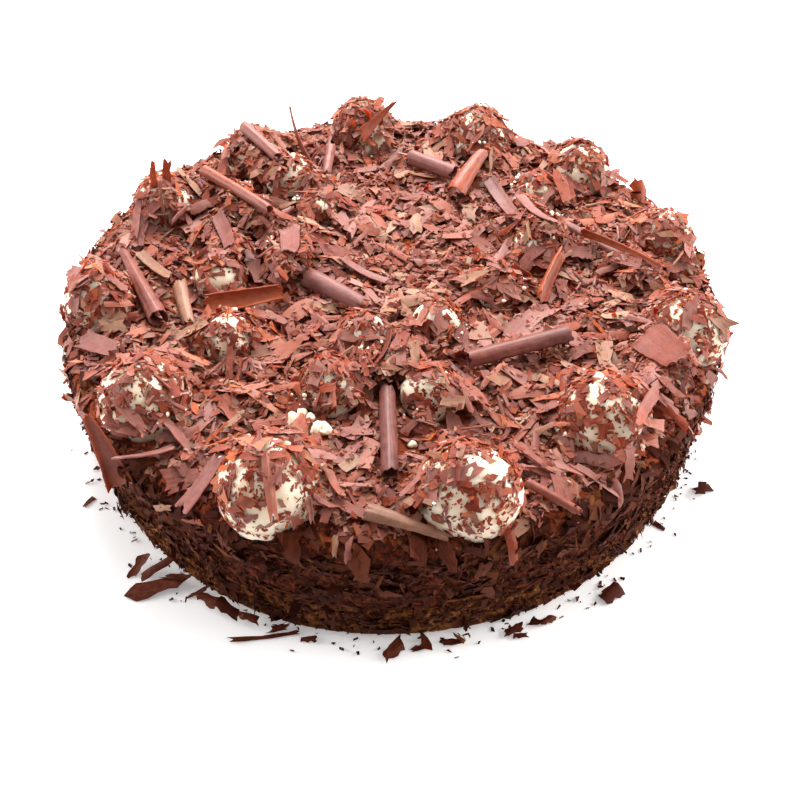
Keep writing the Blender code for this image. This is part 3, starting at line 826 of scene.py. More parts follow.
def lay(bed, middle, spots, headings, leaning, thickness, finer):
    """Lays flakes on the bed in turn. Returns their placed middle points, and which were laid."""
    count, rows, columns, _ = middle.shape
    weights = spread_samples(rows, columns, finer)
    flat = middle.reshape(count, -1, 3)
    samples = np.einsum("sm,fmc->fsc", weights, flat)
    turns, shifts, laid = np.zeros((count, 3, 3)), np.zeros((count, 3)), np.zeros(count, bool)
    for index in range(count):
        cos, sin = math.cos(headings[index]), math.sin(headings[index])
        flake, (spot_x, spot_y) = samples[index], spots[index]
        x = cos * flake[:, 0] - sin * flake[:, 1]
        y = sin * flake[:, 0] + cos * flake[:, 1]
        under = bed.heights[bed.cells(x + spot_x, y + spot_y)]
        there = under > EMPTY
        if there.mean() < BORNE_SHARE:
            continue
        base = np.stack((x[there], y[there], np.ones(there.sum())))
        slope = np.linalg.solve(base @ base.T + CALM * np.eye(3), base @ under[there])[:2]
        slope *= min(1, STEEPEST / max(math.hypot(*slope), 1e-6))
        slope = slope + leaning[index]
        normal = np.array((-slope[0], -slope[1], 1))
        normal /= math.sqrt(normal @ normal)
        ahead = np.array((cos, sin, slope[0] * cos + slope[1] * sin))
        ahead /= math.sqrt(ahead @ ahead)
        turn = np.stack((ahead, np.cross(normal, ahead), normal))
        placed = flake @ turn
        cells = bed.cells(placed[:, 0] + spot_x, placed[:, 1] + spot_y)
        under = bed.heights[cells]
        there = under > EMPTY
        if there.mean() < BORNE_SHARE:
            continue
        gaps = np.sort(under[there] - placed[there, 2])
        lift = gaps[int((1 - bed.sink) * (len(gaps) - 1))] + thickness / 2
        top = placed[:, 2] + lift + thickness / 2
        if (top > bed.ceiling[cells]).any():
            continue
        bed.heights[cells[there]] = np.maximum(under[there], top[there])
        turns[index], shifts[index], laid[index] = turn, (spot_x, spot_y, lift), True
    placed = flat[laid] @ turns[laid] + shifts[laid][:, None]
    return placed.reshape(-1, rows, columns, 3), laid


# %% [markdown]
# ## The bed on top
#
# The map starts as the bare mousse with the balls on it. The large curls are put in as a
# ceiling, so that flakes slide under them but never through. A ball sheds most of what falls
# on it, and where it is bare nearly all of it.

# %% Start the bed on top
REACH = 136.0
BALL_EDGE = 0.95
SHED_WHERE_BARE = 0.92
top_bed = Bed((-REACH, -REACH), (REACH, REACH))
x, y = top_bed.middles()
bare_top = cake_top(x, y)
top_bed.heights[:] = bare_top
for ball in balls:
    on_cake = np.where(bare_top > EMPTY, ball.height(x, y), EMPTY)
    top_bed.heights = np.maximum(top_bed.heights, on_cake)
for sheet in curl_sheets.values():
    rows, columns, _ = sheet.shape
    top_bed.keep_off(spread_samples(rows, columns, 4) @ sheet.reshape(-1, 3))


def over_ball(spots):
    """Which spots are above a ball."""
    over = np.zeros(len(spots), bool)
    for ball in balls:
        over |= np.hypot(*(spots - ball.centre[:2]).T) < ball.radius
    return over


def slips_off(draw, spots):
    """Which of the flakes that fall on these spots are shed by a ball."""
    slips = np.zeros(len(spots), bool)
    for ball in balls:
        level = (spots - ball.centre[:2]) / ball.radius
        distance = np.hypot(*level.T)
        over = distance < BALL_EDGE
        outward = with_height(level, np.sqrt(np.maximum(1 - distance**2, 0)))[over]
        bare = ball.is_bare(ball.centre + outward * ball.radius, outward)
        shed = np.where(bare, SHED_WHERE_BARE, 0.3 + 0.5 * ball.bare)
        slips[over] |= draw.random(over.sum()) < shed
    return slips


print(f"highest ball: {top_bed.heights.max():.1f} mm")

# %% [markdown]
# Flakes come in kinds. A kind says how many there are, how long and wide they are, how they
# lie and how they look. Each kind draws its own random numbers, so a change to one of them
# leaves the others as they are.

# %% Kinds of flakes
STANDING_SLOPES = (0.6, 2.4)
TONE_SPREAD = 0.17


def extra_slopes(draw, count, usual, standing):
    """Most flakes lie nearly with the bed, and a share of them stand up."""
    up = draw.random(count) < standing
    steep = np.where(up, draw.uniform(*STANDING_SLOPES, count), np.abs(draw.normal(0, usual, count)))
    return polar(steep, draw.uniform(0, math.tau, count))


class Kind:
    """One kind of flake: how many, their lengths, and their widths as a share of the length.

    Grid is how many points each has along and across, and ways say how they lie and look."""

    def __init__(self, name, seed, count, length, width, grid, **ways):
        self.name, self.count, self.length, self.width, self.grid = name, count, length, width, grid
        self.draw = np.random.default_rng(seed)
        usual = {"usual": 0.12, "standing": 0.02, "tone": 0.5, "thickness": 0.42}
        usual |= {"finish": FLAKE, "wound": (10, 60), "finer": 6, "hue": (0.2, 1)}
        for key, value in (usual | ways).items():
            setattr(self, key, value)

    def sheets(self, count):
        lengths = self.draw.uniform(*self.length, count)
        widths = lengths * self.draw.uniform(*self.width, count)
        return flake_sheets(self.draw, lengths, widths, *self.grid, self.wound)

    def lay(self, bed, spots):
        """Lays one flake at each spot. Returns the middles as made and as laid."""
        middle = self.sheets(len(spots))
        headings = self.draw.uniform(0, math.tau, len(spots))
        leaning = extra_slopes(self.draw, len(spots), self.usual, self.standing)
        placed, laid = lay(bed, middle, spots, headings, leaning, self.thickness, self.finer)
        return middle[laid], placed

    def finish_piece(self, middle, placed, slot, shade_lift=0.0):
        points, faces = closed_sheets(placed, self.thickness)
        tones = np.clip(self.draw.normal(self.tone, TONE_SPREAD, len(middle)) + shade_lift, 0, 1)
        hues = self.draw.uniform(*self.hue, len(middle))
        values = flake_values(self.draw, middle, tones, hues)
        add_piece(self.name, points, faces, self.finish, slot, **values)


def lay_on_top(kind):
    """One kind of flake, scattered all over the top."""
    distance = TOP_RADIUS * np.sqrt(kind.draw.random(kind.count))
    spots = polar(distance, kind.draw.uniform(0, math.tau, kind.count))
    falls = distance > TOP_RADIUS - SHOULDER + kind.draw.uniform(-2, 2, kind.count)
    middle, placed = kind.lay(top_bed, spots[~slips_off(kind.draw, spots) & ~falls])
    kind.finish_piece(middle, placed, "chocolate_coat")


# The first layer, seen only in the gaps, is darker and warmer than the rest: painted shade and painted warm
# light between the flakes.
lay_on_top(Kind("flakes_top_under", 11, 2400, (4.0, 8.0), (0.45, 0.8), (3, 2), tone=0.38, hue=(0, 0.5)))

# %% [markdown]
# Nine curls lie high, across the shoulders of balls, and flakes bear them there. So small
# flakes are slid under each of these curls, a few at a time, until the heap nearly reaches
# its underside.

# %% Heap flakes under the high curls
HIGH_CURLS = ("tube_back_left", "tube_left_back", "strip_thin", "strip_back_right", "shard_right")
HIGH_CURLS += ("strip_ball_left", "strip_dark", "shard_middle", "blade_left")
HEAP_ROUNDS = 26
HEAP_EACH = 34
HEAP_SPREAD = 2.6
HEAP_GAP = 0.5
HEAP_SIZES = ((2.0, 5.0), (0.4, 0.8), (2, 2))


def heap_under(kind, names):
    """Flakes slid under curls, a few at a time, until the heap reaches their undersides."""
    made, laid = [], []
    for name in names:
        points = curl_sheets[name].reshape(-1, 3)
        for _ in range(HEAP_ROUNDS):
            under = points[kind.draw.integers(0, len(points), HEAP_EACH), :2]
            spots = under + kind.draw.normal(0, HEAP_SPREAD, under.shape)
            room = top_bed.ceiling[top_bed.cells(*under.T)] - top_bed.heights[top_bed.cells(*spots.T)]
            middle, placed = kind.lay(top_bed, spots[room > HEAP_GAP])
            made.append(middle)
            laid.append(placed)
        cells = np.unique(top_bed.cells(*points[:, :2].T))
        left = (top_bed.ceiling - top_bed.heights)[cells]
        print(f"room left under {name}: {left.min():.1f} mm at least, {np.median(left):.1f} mm in the middle")
    kind.finish_piece(np.concatenate(made), np.concatenate(laid), "chocolate_coat")


heap_under(Kind("flakes_under_curls", 28, 0, *HEAP_SIZES, usual=0.3, standing=0.05, tone=0.42), HIGH_CURLS)

# %% [markdown]
# The other kinds follow in turn: large flakes, then crumbs and middling flakes that settle in
# their gaps, and then a few hundred each of the shapes that stand out: wound, long, thin
# enough for light to pass through, whose orange is painted glow, and large and flat.

# %% Lay the flakes on top
# Thin flakes, in the finish with painted glow.
THIN_GLOW_PAINTED_WAYS = {"finish": GLOW_PAINTED_FLAKE, "thickness": 0.3}
FLAT_WAYS = {"usual": 0.07, "tone": 0.44, "hue": (0.3, 1), "finer": 7}
for kind in (
    Kind(
        "flakes_top_large", 12, 1200, (6.0, 11.5), (0.45, 0.8), (4, 3), usual=0.14, standing=0.03, tone=0.44
    ),
    Kind(
        "crumbs_top", 13, 9500, (1.2, 3.2), (0.4, 0.9), (2, 2), usual=0.28, standing=0.05, finer=7, tone=0.47
    ),
    Kind(
        "flakes_top_middling", 14, 2600, (2.5, 6.0), (0.35, 0.8), (3, 2), usual=0.2, standing=0.04, tone=0.45
    ),
    Kind("flakes_top_wound", 15, 420, (4, 9), (0.25, 0.35), (3, 4), usual=0.15, wound=(90, 240), finer=4),
    Kind("flakes_top_long", 16, 220, (9, 17), (0.2, 0.4), (5, 3), wound=(20, 90), finer=7),
    Kind("flakes_top_thin", 17, 140, (3.5, 7.5), (0.4, 0.8), (3, 3), standing=0.3, tone=0.35, **THIN_GLOW_PAINTED_WAYS),
    Kind("flakes_top_flat", 19, 420, (7.0, 14.0), (0.35, 0.65), (4, 3), **FLAT_WAYS),
):
    lay_on_top(kind)

# %% [markdown]
# Some flakes catch the eye, by their size, their colour or because they stand on edge. Those
# are laid where they are on the real cake. The table gives the place, where the flake's
# length points, how long and wide it is, and how steeply it is raised along its length. A
# last dusting of crumbs comes after them, so that they lie in the heap and not on it.

# %% Lay the flakes that catch the eye
# x, y, heading, length, width, steepness, tone, hue
SEEN_FLAKES = (
    (-86, 91, 64, 12, 6, 0, 0.15, 0.3),
    (-31, 92, 74, 22, 2.5, 0.1, 0.5, 0.8),
    (-95, 35, 90, 20, 1.6, 3.5, 0.6, 0.9),
    (-14, 41, -109, 26, 5, 0, 0.6, 0.8),
    (9, 36, 91, 9, 7, 0, 0.6, 0.95),
    (32, 46, 91, 10, 8, 0, 0.5, 0.93),
    (76, 16, 1, 9, 7, 0, 0.6, 0.8),
    (88, -9, 1, 9, 8, 0, 0.6, 0.93),
    (52, -23, 46, 20, 10, 0, 0.65, 0.8),
    (30, -6, 0, 12, 6, 0.2, 0.6, 0.95),
    (43, -4, 3, 14, 4.4, 0, 0.6, 0.8),
    (32, -30, 91, 9, 8, 0, 0.5, 0.9),
    (18, -31, 90, 9, 7, 0, 0.5, 0.8),
    (56, -57, -53, 15, 3.5, 0, 0.65, 0.95),
    (59, -64, -96, 17, 4, 0, 0.15, 0.3),
    (63, -80, -83, 15, 3, 0, 0.1, 0.3),
    (96, -73, -46, 12, 4, 0, 0.2, 0.3),
    (95, -66, -40, 10, 4, 0.2, 0.3, 0.8),
    (89, -61, 91, 9, 7, 0, 0.5, 0.8),
    (-13, -40, 1, 11, 7, 0, 0.55, 0.8),
    (-120, -12, 91, 10, 8, 0, 0.15, 0.4),
    (-118, -25, 91, 8, 6, 0, 0.5, 0.8),
    (-104, -30, 1, 9, 7.5, 0, 0.6, 0.93),
    (-106, 34, -93, 25, 4, 0.1, 0.55, 0.8),
    (-79, -48, 1, 13, 4, 0, 0.5, 0.8),
    (-74, -34, 7, 14, 6, 0, 0.6, 0.95),
    (-87, -81, -42, 18, 5, 0, 0.55, 0.8),
    (-72, -84, -42, 16, 4.4, 0, 0.5, 0.8),
    (-65, -86, -82, 11, 2.4, 0, 0.4, 0.5),
    (24, -79, 11, 20, 1.8, 0.1, 0.3, 0.5),
    (58, -97, -35, 10, 3.6, 0, 0.5, 0.8),
    (48, -95, -36, 11, 4, 0, 0.5, 0.8),
    (48, -86, -96, 10, 3.4, 0, 0.4, 0.8),
    (77, -97, -99, 11, 4.4, 0, 0.4, 0.8),
)
SEEN_THIN_FLAKES = (
    (107, 62, 90, 12, 10, 2.2, 0.35, 0.3),
    (-99, 44, 90, 14, 3.5, 3, 0.5, 0.3),
    (-94, 47, 80, 12, 5, 3, 0.3, 0.3),
    (-117, -9, 0, 7, 6, 1.2, 0.6, 0.3),
    (-91, -44, 0, 10, 2.6, 0.4, 0.45, 0.3),
    (-71, -49, -20, 13, 3, 0.4, 0.6, 0.3),
    (-60, -82, 48, 12, 1.6, 0.1, 0.6, 0.3),
    (-57, -84, 34, 14, 1.8, 0.1, 0.6, 0.3),
)
SEEN_THICKNESS = 0.45
SEEN_GRID = (6, 4)
SEEN_BENT = 0.15


def lay_seen(name, seed, bed, table, finish, shape=None, wound=(15, 80)):
    """The flakes of a table, laid on a bed. Shape turns the bed's points into places."""
    draw = np.random.default_rng(seed)
    table = np.array(table, float)
    headings = np.radians(table[:, 2])
    leaning = polar(table[:, 5], headings)
    middle = flake_sheets(draw, table[:, 3], table[:, 4], *SEEN_GRID, wound, SEEN_BENT)
    placed, laid = lay(bed, middle, table[:, :2], headings, leaning, SEEN_THICKNESS, 5)
    print(name, "left out, for want of room:", table[~laid, :2].tolist())
    points, faces = closed_sheets(shape(placed) if shape else placed, SEEN_THICKNESS)
    values = flake_values(draw, middle[laid], table[laid, 6], table[laid, 7])
    add_piece(name, points, faces, finish, "chocolate_coat", **values)


lay_seen("seen_flakes", 51, top_bed, SEEN_FLAKES, FLAKE)
lay_seen("seen_thin_flakes", 52, top_bed, SEEN_THIN_FLAKES, GLOW_PAINTED_FLAKE)
lay_on_top(Kind("crumbs_top_last", 18, 4200, (0.8, 2.3), (0.4, 0.9), (2, 2), usual=0.25, finer=5, tone=0.46))
raised = (top_bed.heights - bare_top)[(bare_top > EMPTY) & ~over_ball(np.stack((x, y), -1))]
thinnest, thickest = np.percentile(raised, (5, 95))
print(f"bed: {raised.mean():.1f} mm thick, from {thinnest:.1f} to {thickest:.1f}")

# %% [markdown]
# ## The side
#
# Flakes were pressed on the side by hand. Unrolled, the side is a long strip, so the same
# bed lays them: x runs round the cake, y goes up the side and over the shoulder, and the
# heap grows outward. Then each point is rolled back round the axis. Fewer flakes cling to
# the sponge at the foot.

# %% Unroll the side
SIDE_LENGTH = math.tau * TOP_RADIUS
SIDE_RISE = SHOULDER_START + SHOULDER * math.pi / 2
FLOOR_CLEAR = 0.4
side_bed = Bed((0, 0), (SIDE_LENGTH, SIDE_RISE + 2), goes_round=True)
side_bed.heights[:] = 0.0


def roll_up(points):
    """From the unrolled side back round the cake, and over its shoulder."""
    bearing = points[..., 0] / TOP_RADIUS
    rise = np.maximum(points[..., 1], FLOOR_CLEAR)
    angle = np.clip((rise - SHOULDER_START) / SHOULDER, 0, math.pi / 2)
    reach = SHOULDER + points[..., 2]
    inward = np.maximum(rise - SIDE_RISE, 0)
    radius = (side_radius(np.minimum(rise, SHOULDER_START)) - SHOULDER) * rim_wave(bearing)
    radius = radius + reach * np.cos(angle) - inward
    height = np.minimum(rise, SHOULDER_START) + reach * np.sin(angle)
    return with_height(polar(radius, bearing), height)


print(f"unrolled side: {SIDE_LENGTH:.0f} x {SIDE_RISE:.0f} mm")

# %% [markdown]
# The front of the side stands in shade, and the dark colours of the side's finish are painted
# shade. Towards the left and right that painted shade is lifted and the flakes get paler. The
# flakes over the rim are those of the top, except in front, where they take the side's painted
# shade. At the back the lift fades and they stay dark, as painted shade, because there the
# light falls straight on them.

# %% Lay the flakes on the side
FRONT = 0.75
FRONT_REACH = 0.15
SHADE_REACH = 0.1
SHADE_LIFT = 0.4
BACK_LIFT_FADE = 1.5
LOWEST = 1.5


def all_round(across):
    return across >= 0


def in_shaded_front(across):
    return np.abs(across / SIDE_LENGTH - FRONT) < FRONT_REACH


def not_in_shaded_front(across):
    return ~in_shaded_front(across)


def lay_on_side(kind, at_foot, lowest=LOWEST, highest=SIDE_RISE, where=all_round):
    """One kind of flake round the side, of which a share is left at the foot."""
    across = kind.draw.uniform(0, SIDE_LENGTH, kind.count)
    rise = kind.draw.uniform(lowest, highest, kind.count)
    share = at_foot + (1 - at_foot) * np.clip(rise / SPONGE_HEIGHT - 0.3, 0, 1)
    spots = np.stack((across, rise), -1)[(kind.draw.random(kind.count) < share) & where(across)]
    middle, placed = kind.lay(side_bed, spots)
    round_cake = placed[:, 0, 0, 0] / SIDE_LENGTH
    # Painted light: the tone is lifted away from the shaded front, and for the top's finish the lift fades at
    # the back.
    shade_lift = SHADE_LIFT * np.clip((np.abs(round_cake - FRONT) - SHADE_REACH) / SHADE_REACH, 0, 1)
    if kind.finish is FLAKE:
        shade_lift = shade_lift * np.clip(1 - BACK_LIFT_FADE * np.sin(round_cake * math.tau), 0, 1)
    kind.finish_piece(middle, roll_up(placed), "chocolate_coat", shade_lift)


def side_kind(name, seed, count, length, width, grid, usual, standing, tone):
    """A kind in the finish of the shaded side, whose dark colours are painted shade."""
    looks = {"tone": tone, "finish": SHADED_SIDE_FLAKE, "thickness": 0.36}
    return Kind(name, seed, count, length, width, grid, usual=usual, standing=standing, **looks)


crumbs = side_kind("crumbs_side", 21, 9500, (0.9, 2.4), (0.4, 0.95), (2, 2), 0.45, 0.1, 0.5)
lay_on_side(crumbs, 0.85)
flakes = side_kind("flakes_side", 22, 900, (3.0, 9.0), (0.35, 0.8), (3, 2), 0.2, 0.05, 0.5)
lay_on_side(flakes, 0.2)
strips = side_kind("strips_side", 23, 500, (4.0, 11.0), (0.1, 0.25), (3, 2), 0.2, 0.05, 0.6)
lay_on_side(strips, 0.2)
last_crumbs = side_kind("crumbs_side_last", 24, 4500, (0.8, 2.0), (0.4, 0.95), (2, 2), 0.5, 0.15, 0.48)
lay_on_side(last_crumbs, 0.8)
foot_flakes = side_kind("flakes_foot_front", 27, 420, (2.0, 6.5), (0.35, 0.8), (3, 2), 0.3, 0.1, 0.45)
lay_on_side(foot_flakes, 1, 2.5, SPONGE_HEIGHT + 1, in_shaded_front)
rim_flakes = side_kind("flakes_rim_front", 26, 520, (2.5, 7.5), (0.35, 0.8), (3, 2), 0.25, 0.1, 0.6)
lay_on_side(rim_flakes, 1, SHOULDER_START - 4, where=in_shaded_front)
# The low tone of the flakes over the rim is painted shade.
RIM_WAYS = {"usual": 0.25, "standing": 0.1, "tone": 0.08, "hue": (0.3, 1)}
over_rim = Kind("flakes_rim", 25, 620, (2.5, 7.5), (0.35, 0.8), (3, 2), **RIM_WAYS)
lay_on_side(over_rim, 1, SHOULDER_START - 9, where=not_in_shaded_front)

# %% [markdown]
# A few flakes that catch the eye hang at the rim and on the side too. Their tables are the
# same, with the bearing and the height up the side in place of x and y.

# %% Lay the seen flakes at the rim
# bearing, rise, heading, length, width, steepness, tone, hue
SEEN_AT_RIM = (
    (262, 53, -90, 6, 3, 0.1, 0.3, 0.95),
    (264, 52, -90, 6, 3, 0.1, 0.3, 0.8),
    (306, 51, -90, 10, 4, 0, 0.2, 0.8),
    (234, 44, 40, 10, 3.5, 0, 0.35, 0.95),
    (240, 46, 20, 8, 4, 0, 0.3, 0.3),
    (287, 51, -85, 12, 4, 0.2, 0.3, 0.3),
    (340, 50, -60, 13, 1.4, 0.5, 0.3, 0.5),
)
SEEN_IN_SHADE = (
    (266, 46, -90, 13, 7, 0, 1.0, 0.2),
    (256, 50, -80, 9, 8, 0, 0.8, 0.2),
    (274, 53, -95, 9, 8, 0, 0.7, 0.2),
    (278, 50, -60, 9, 7, 0, 0.8, 0.2),
    (224, 45, 30, 11, 6, 0, 0.9, 0.2),
    (247, 38, 80, 8, 5, 0.1, 0.9, 0.5),
    (270, 32, 20, 9, 5, 0.1, 0.9, 0.2),
    (283, 41, 70, 8, 5, 0.1, 0.9, 0.5),
    (296, 36, 120, 9, 5, 0.1, 0.9, 0.2),
    (308, 42, 60, 8, 5, 0.1, 0.9, 0.2),
)


def unrolled(table):
    """The table with bearings turned into places along the unrolled side."""
    return [(math.radians(bearing) * TOP_RADIUS, *row) for bearing, *row in table]


lay_seen("seen_flakes_rim", 53, side_bed, unrolled(SEEN_AT_RIM), FLAKE, roll_up)
lay_seen("seen_flakes_side", 55, side_bed, unrolled(SEEN_IN_SHADE), SHADED_SIDE_FLAKE, roll_up)

# %% [markdown]
# ## Flakes on the balls
#
# On a ball the flakes cling to a steep surface, so each one lies on the plane that touches
# the ball where it is. The bare part of a ball gets fewer and smaller ones, which lie closer
# to the cream. The rest is nearly hidden.


# %% Spots on the balls
BURIED = 3.0
RIM_START = 117.0
LOWEST_ON_BALL = -0.9 * BALL_RISE


def spots_on_balls(draw, per_area, bare_share):
    """Spots on all balls: points, outward normals, and where the bare parts are."""
    spots, normals, bares = [], [], []
    for ball in balls:
        count = int(per_area * math.tau * ball.radius**2 * (1 - LOWEST_ON_BALL))
        z = draw.uniform(LOWEST_ON_BALL, 1, count)
        turn = draw.uniform(0, math.tau, count)
        points, outward = ball.surface(with_height(polar(np.sqrt(1 - z**2), turn), z))
        distance = np.hypot(points[:, 0], points[:, 1])
        bare = ball.is_bare(points, outward)
        keep = draw.random(count) < np.where(bare, bare_share, 1.0)
        keep &= (distance < REACH) & ((points[:, 2] > CAKE_HEIGHT + BURIED) | (distance > RIM_START))
        spots.append(points[keep])
        normals.append(outward[keep])
        bares.append(bare[keep])
    return np.concatenate(spots), np.concatenate(normals), np.concatenate(bares)


def cling(draw, middle, spots, normals, lean, lift):
    """Places each flake on the plane that touches its spot, leaning a little."""
    count = len(middle)
    normal = normals + lean[:, None] * draw.normal(0, 1, (count, 3))
    normal /= np.linalg.norm(normal, axis=1, keepdims=True)
    ahead = np.cross(normal, draw.normal(0, 1, (count, 3)))
    ahead /= np.linalg.norm(ahead, axis=1, keepdims=True)
    turn = np.stack((ahead, np.cross(normal, ahead), normal), 1)
    placed = middle.reshape(count, -1, 3) @ turn
    deepest = (placed * normals[:, None]).sum(-1).min(1)
    shift = spots + normals * (lift - 0.5 * deepest)[:, None]
    return (placed + shift[:, None]).reshape(middle.shape)


# %% Lay the flakes on the balls
BARE_SIZE = 0.75
BARE_LEAN = 0.04
BARE_LIFT = 0.12


def lay_on_balls(kind, per_area, bare_share, lift=(0.1, 0.9)):
    """One kind of flake on all balls: so many on each square mm, a share of them where it is bare."""
    spots, normals, bare = spots_on_balls(kind.draw, per_area, bare_share)
    count = len(spots)
    middle = kind.sheets(count) * np.where(bare, BARE_SIZE, 1.0)[:, None, None, None]
    leaning = np.where(bare, BARE_LEAN, np.abs(kind.draw.normal(0, kind.usual, count)))
    lifts = np.where(bare, BARE_LIFT, kind.draw.uniform(*lift, count))
    kind.finish_piece(middle, cling(kind.draw, middle, spots, normals, leaning, lifts), "whipped_cream")


flakes = Kind("flakes_on_cream", 31, 0, (2.2, 6.0), (0.4, 0.85), (3, 2), usual=0.14, tone=0.22)
lay_on_balls(flakes, 0.055, 0.7)
crumbs = Kind("crumbs_on_cream", 32, 0, (0.8, 2.6), (0.4, 0.95), (2, 2), usual=0.2, tone=0.03, finish=FLECK)
lay_on_balls(crumbs, 0.5, 0.36, (0.05, 0.5))
# Crumbs in the finish with painted glow, for light that shines through thin chocolate over the cream.
warm = Kind("warm_crumbs_on_cream", 34, 0, (0.8, 2.4), (0.4, 0.95), (2, 2), usual=0.25, tone=0.1, **THIN_GLOW_PAINTED_WAYS)
lay_on_balls(warm, 0.24, 0.32, (0.05, 0.4))
thin = Kind("thin_flakes_on_cream", 33, 0, (2.5, 6.0), (0.4, 0.8), (3, 3), usual=0.25, **THIN_GLOW_PAINTED_WAYS)
lay_on_balls(thin, 0.014, 0.5)

# %% [markdown]
# ## Specks of cream, and what fell off
#
# The flakes pulled specks of cream off the balls, and a few larger lumps lie beside the
# front balls. Each is an uneven lump, sunk a little into what lies there.

# %% Specks and lumps of cream
# x, y, size
CREAM_LUMPS = (
    (-34, -75, 4.5),
    (-31, -73, 4.5),
    (-28, -75, 4.0),
    (-24, -82, 5.5),
    (-22, -84, 4.5),
    (7, -84, 3.0),
    (44, -106, 4.0),
)
SPECKS_EACH = 6
LUMP_GRID = (10, 8)
LUMP_ROOM = 3


def shape_lumps(draw, spots, sizes, heights):
    """Points and faces of a lump at each spot."""
    around, down = LUMP_GRID
    ways = sphere_ways(around, down)
    centres = with_height(spots, heights + 0.2 * sizes)[:, None]
    shape = ways * sizes[:, None, None] / 2 * draw.uniform(0.6, 1.4, (len(spots), 1, 3)) * (1, 1, 0.8)
    bulge = 1 + 0.6 * cloud((shape + centres).reshape(-1, 3), 1.8, 12)
    shape = shape * bulge.reshape(len(spots), -1, 1)
    faces = grid_faces(down, around)[None] + np.arange(len(spots))[:, None, None] * len(ways)
    return shape + centres, faces.reshape(-1, 4)


draw = np.random.default_rng(61)
specks = []
for ball in balls:
    turn = draw.uniform(0, math.tau) + draw.normal(0, 0.5, SPECKS_EACH)
    distance = ball.radius * draw.uniform(0.95, 1.3, SPECKS_EACH)
    specks.append(ball.centre[:2] + polar(distance, turn))
sizes = draw.uniform(0.5, 1.6, SPECKS_EACH * len(balls))
lumps = np.array(CREAM_LUMPS)
specks, sizes = np.concatenate((*specks, lumps[:, :2])), np.concatenate((sizes, lumps[:, 2]))
cells = top_bed.cells(*specks.T)
rest_on = top_bed.heights[cells]
there = (rest_on > EMPTY) & (top_bed.ceiling[cells] > rest_on + LUMP_ROOM)
points, faces = shape_lumps(draw, specks[there], sizes[there], rest_on[there])
add_piece("cream_specks", points, faces, CREAM, "whipped_cream")

# %% [markdown]
# Round the foot lie crumbs and flakes that fell while the side was covered, most of them
# close to it, and the large ones in front. Their dark colours are painted shade at the foot.
# Their bed is the floor, which nothing sinks into.

# %% What fell off
# x, y, heading, length, width, steepness, tone, hue
SEEN_FALLEN = (
    (-84, -107, 10, 19, 8, 0.1, 0.7, 0.6),
    (-43, -126, 9, 24, 2.5, 0, 0.6, 0.3),
    (1, -131, 40, 8, 7, 0.2, 0.6, 0.3),
    (45, -125, 0, 5, 3, 0, 0.6, 0.3),
    (55, -119, 30, 6, 3.5, 0, 0.7, 0.3),
    (79, -108, 40, 9, 8, 0.1, 0.5, 0.5),
    (-92, -98, 60, 9, 5, 0.3, 0.7, 0.6),
    (-85, -100, 30, 12, 5, 0.3, 0.6, 0.3),
    (-77, -104, -20, 10, 4, 0.2, 0.5, 0.3),
    (-69, -109, 20, 8, 2, 0.3, 0.6, 0.3),
    (-64, -113, -35, 9, 6, 0.2, 0.6, 0.5),
    (-57, -117, -30, 10, 6, 0.1, 0.5, 0.3),
    (-49, -121, -20, 8, 4.5, 0.2, 0.5, 0.3),
    (-39, -123, 10, 7, 4, 0.2, 0.6, 0.3),
    (-28, -127, 0, 6, 3, 0.2, 0.5, 0.3),
    (10, -130, 15, 6, 3, 0, 0.5, 0.3),
    (21, -128, 0, 7, 3, 0.2, 0.5, 0.3),
    (43, -123, 20, 7, 4.5, 0.2, 0.6, 0.3),
    (51, -120, -20, 5, 4, 0.1, 0.5, 0.3),
)
FALL_START = FOOT_RADIUS + 2.5
FLOOR_REACH = REACH + 4
FLOOR_HEIGHT = 0.1
floor_bed = Bed((-FLOOR_REACH, -FLOOR_REACH), (FLOOR_REACH, FLOOR_REACH), sink=0.0)
outside = np.hypot(*floor_bed.middles()) > FALL_START
floor_bed.heights[:] = np.where(outside, FLOOR_HEIGHT, EMPTY)
lay_seen("seen_flakes_fallen", 54, floor_bed, SEEN_FALLEN, SHADED_FALLEN_FLAKE, wound=(50, 150))


def lay_fallen(kind):
    """One kind of flake on the floor, most of them close to the foot."""
    distance = np.minimum(FALL_START + kind.draw.exponential(3.0, kind.count), REACH)
    spots = polar(distance, kind.draw.uniform(0, math.tau, kind.count))
    middle, placed = kind.lay(floor_bed, spots)
    kind.finish_piece(middle, placed, "chocolate_coat")


FALLEN_CRUMBS = {"usual": 0.3, "finer": 5, "finish": SHADED_FALLEN_FLAKE}
lay_fallen(Kind("flakes_fallen", 41, 14, (3, 8), (0.3, 0.7), (3, 2), finish=SHADED_FALLEN_FLAKE))
lay_fallen(Kind("crumbs_fallen", 42, 260, (0.7, 2.0), (0.4, 0.95), (2, 2), **FALLEN_CRUMBS))

# %% [markdown]
# ## Stage, camera and light
#
# A plain pale floor that glows a little, so that it stays nearly white in the shade of the
# cake.

# %% Stage
floor_finish = Finish("pale_floor", Roughness=0.7, Emission_Color=(1, 1, 1, 1), Emission_Strength=0.24)
floor_cloud = floor_finish.noise(floor_finish.place(), 3, detail=2.0)
floor_colours = ((0.0, (0.92, 0.92, 0.93)), (1.0, (0.95, 0.95, 0.95)))
floor_finish.link(floor_finish.ramp(floor_cloud, *floor_colours), "Base Color")
floor_mesh = bpy.data.meshes.new("floor")
corners = [(-2.5, -2.5, 0), (2.5, -2.5, 0), (2.5, 2.5, 0), (-2.5, 2.5, 0)]
floor_mesh.from_pydata(corners, [], [(0, 1, 2, 3)])
floor_mesh.materials.append(floor_finish.material)
floor = bpy.data.objects.new("floor", floor_mesh)
scene = bpy.context.scene
scene.collection.objects.link(floor)

# %% [markdown]
# The camera looks down on the cake from in front, turned and rolled by a little, as it is
# when held by hand. Its place is in millimetres and its angles are in radians.

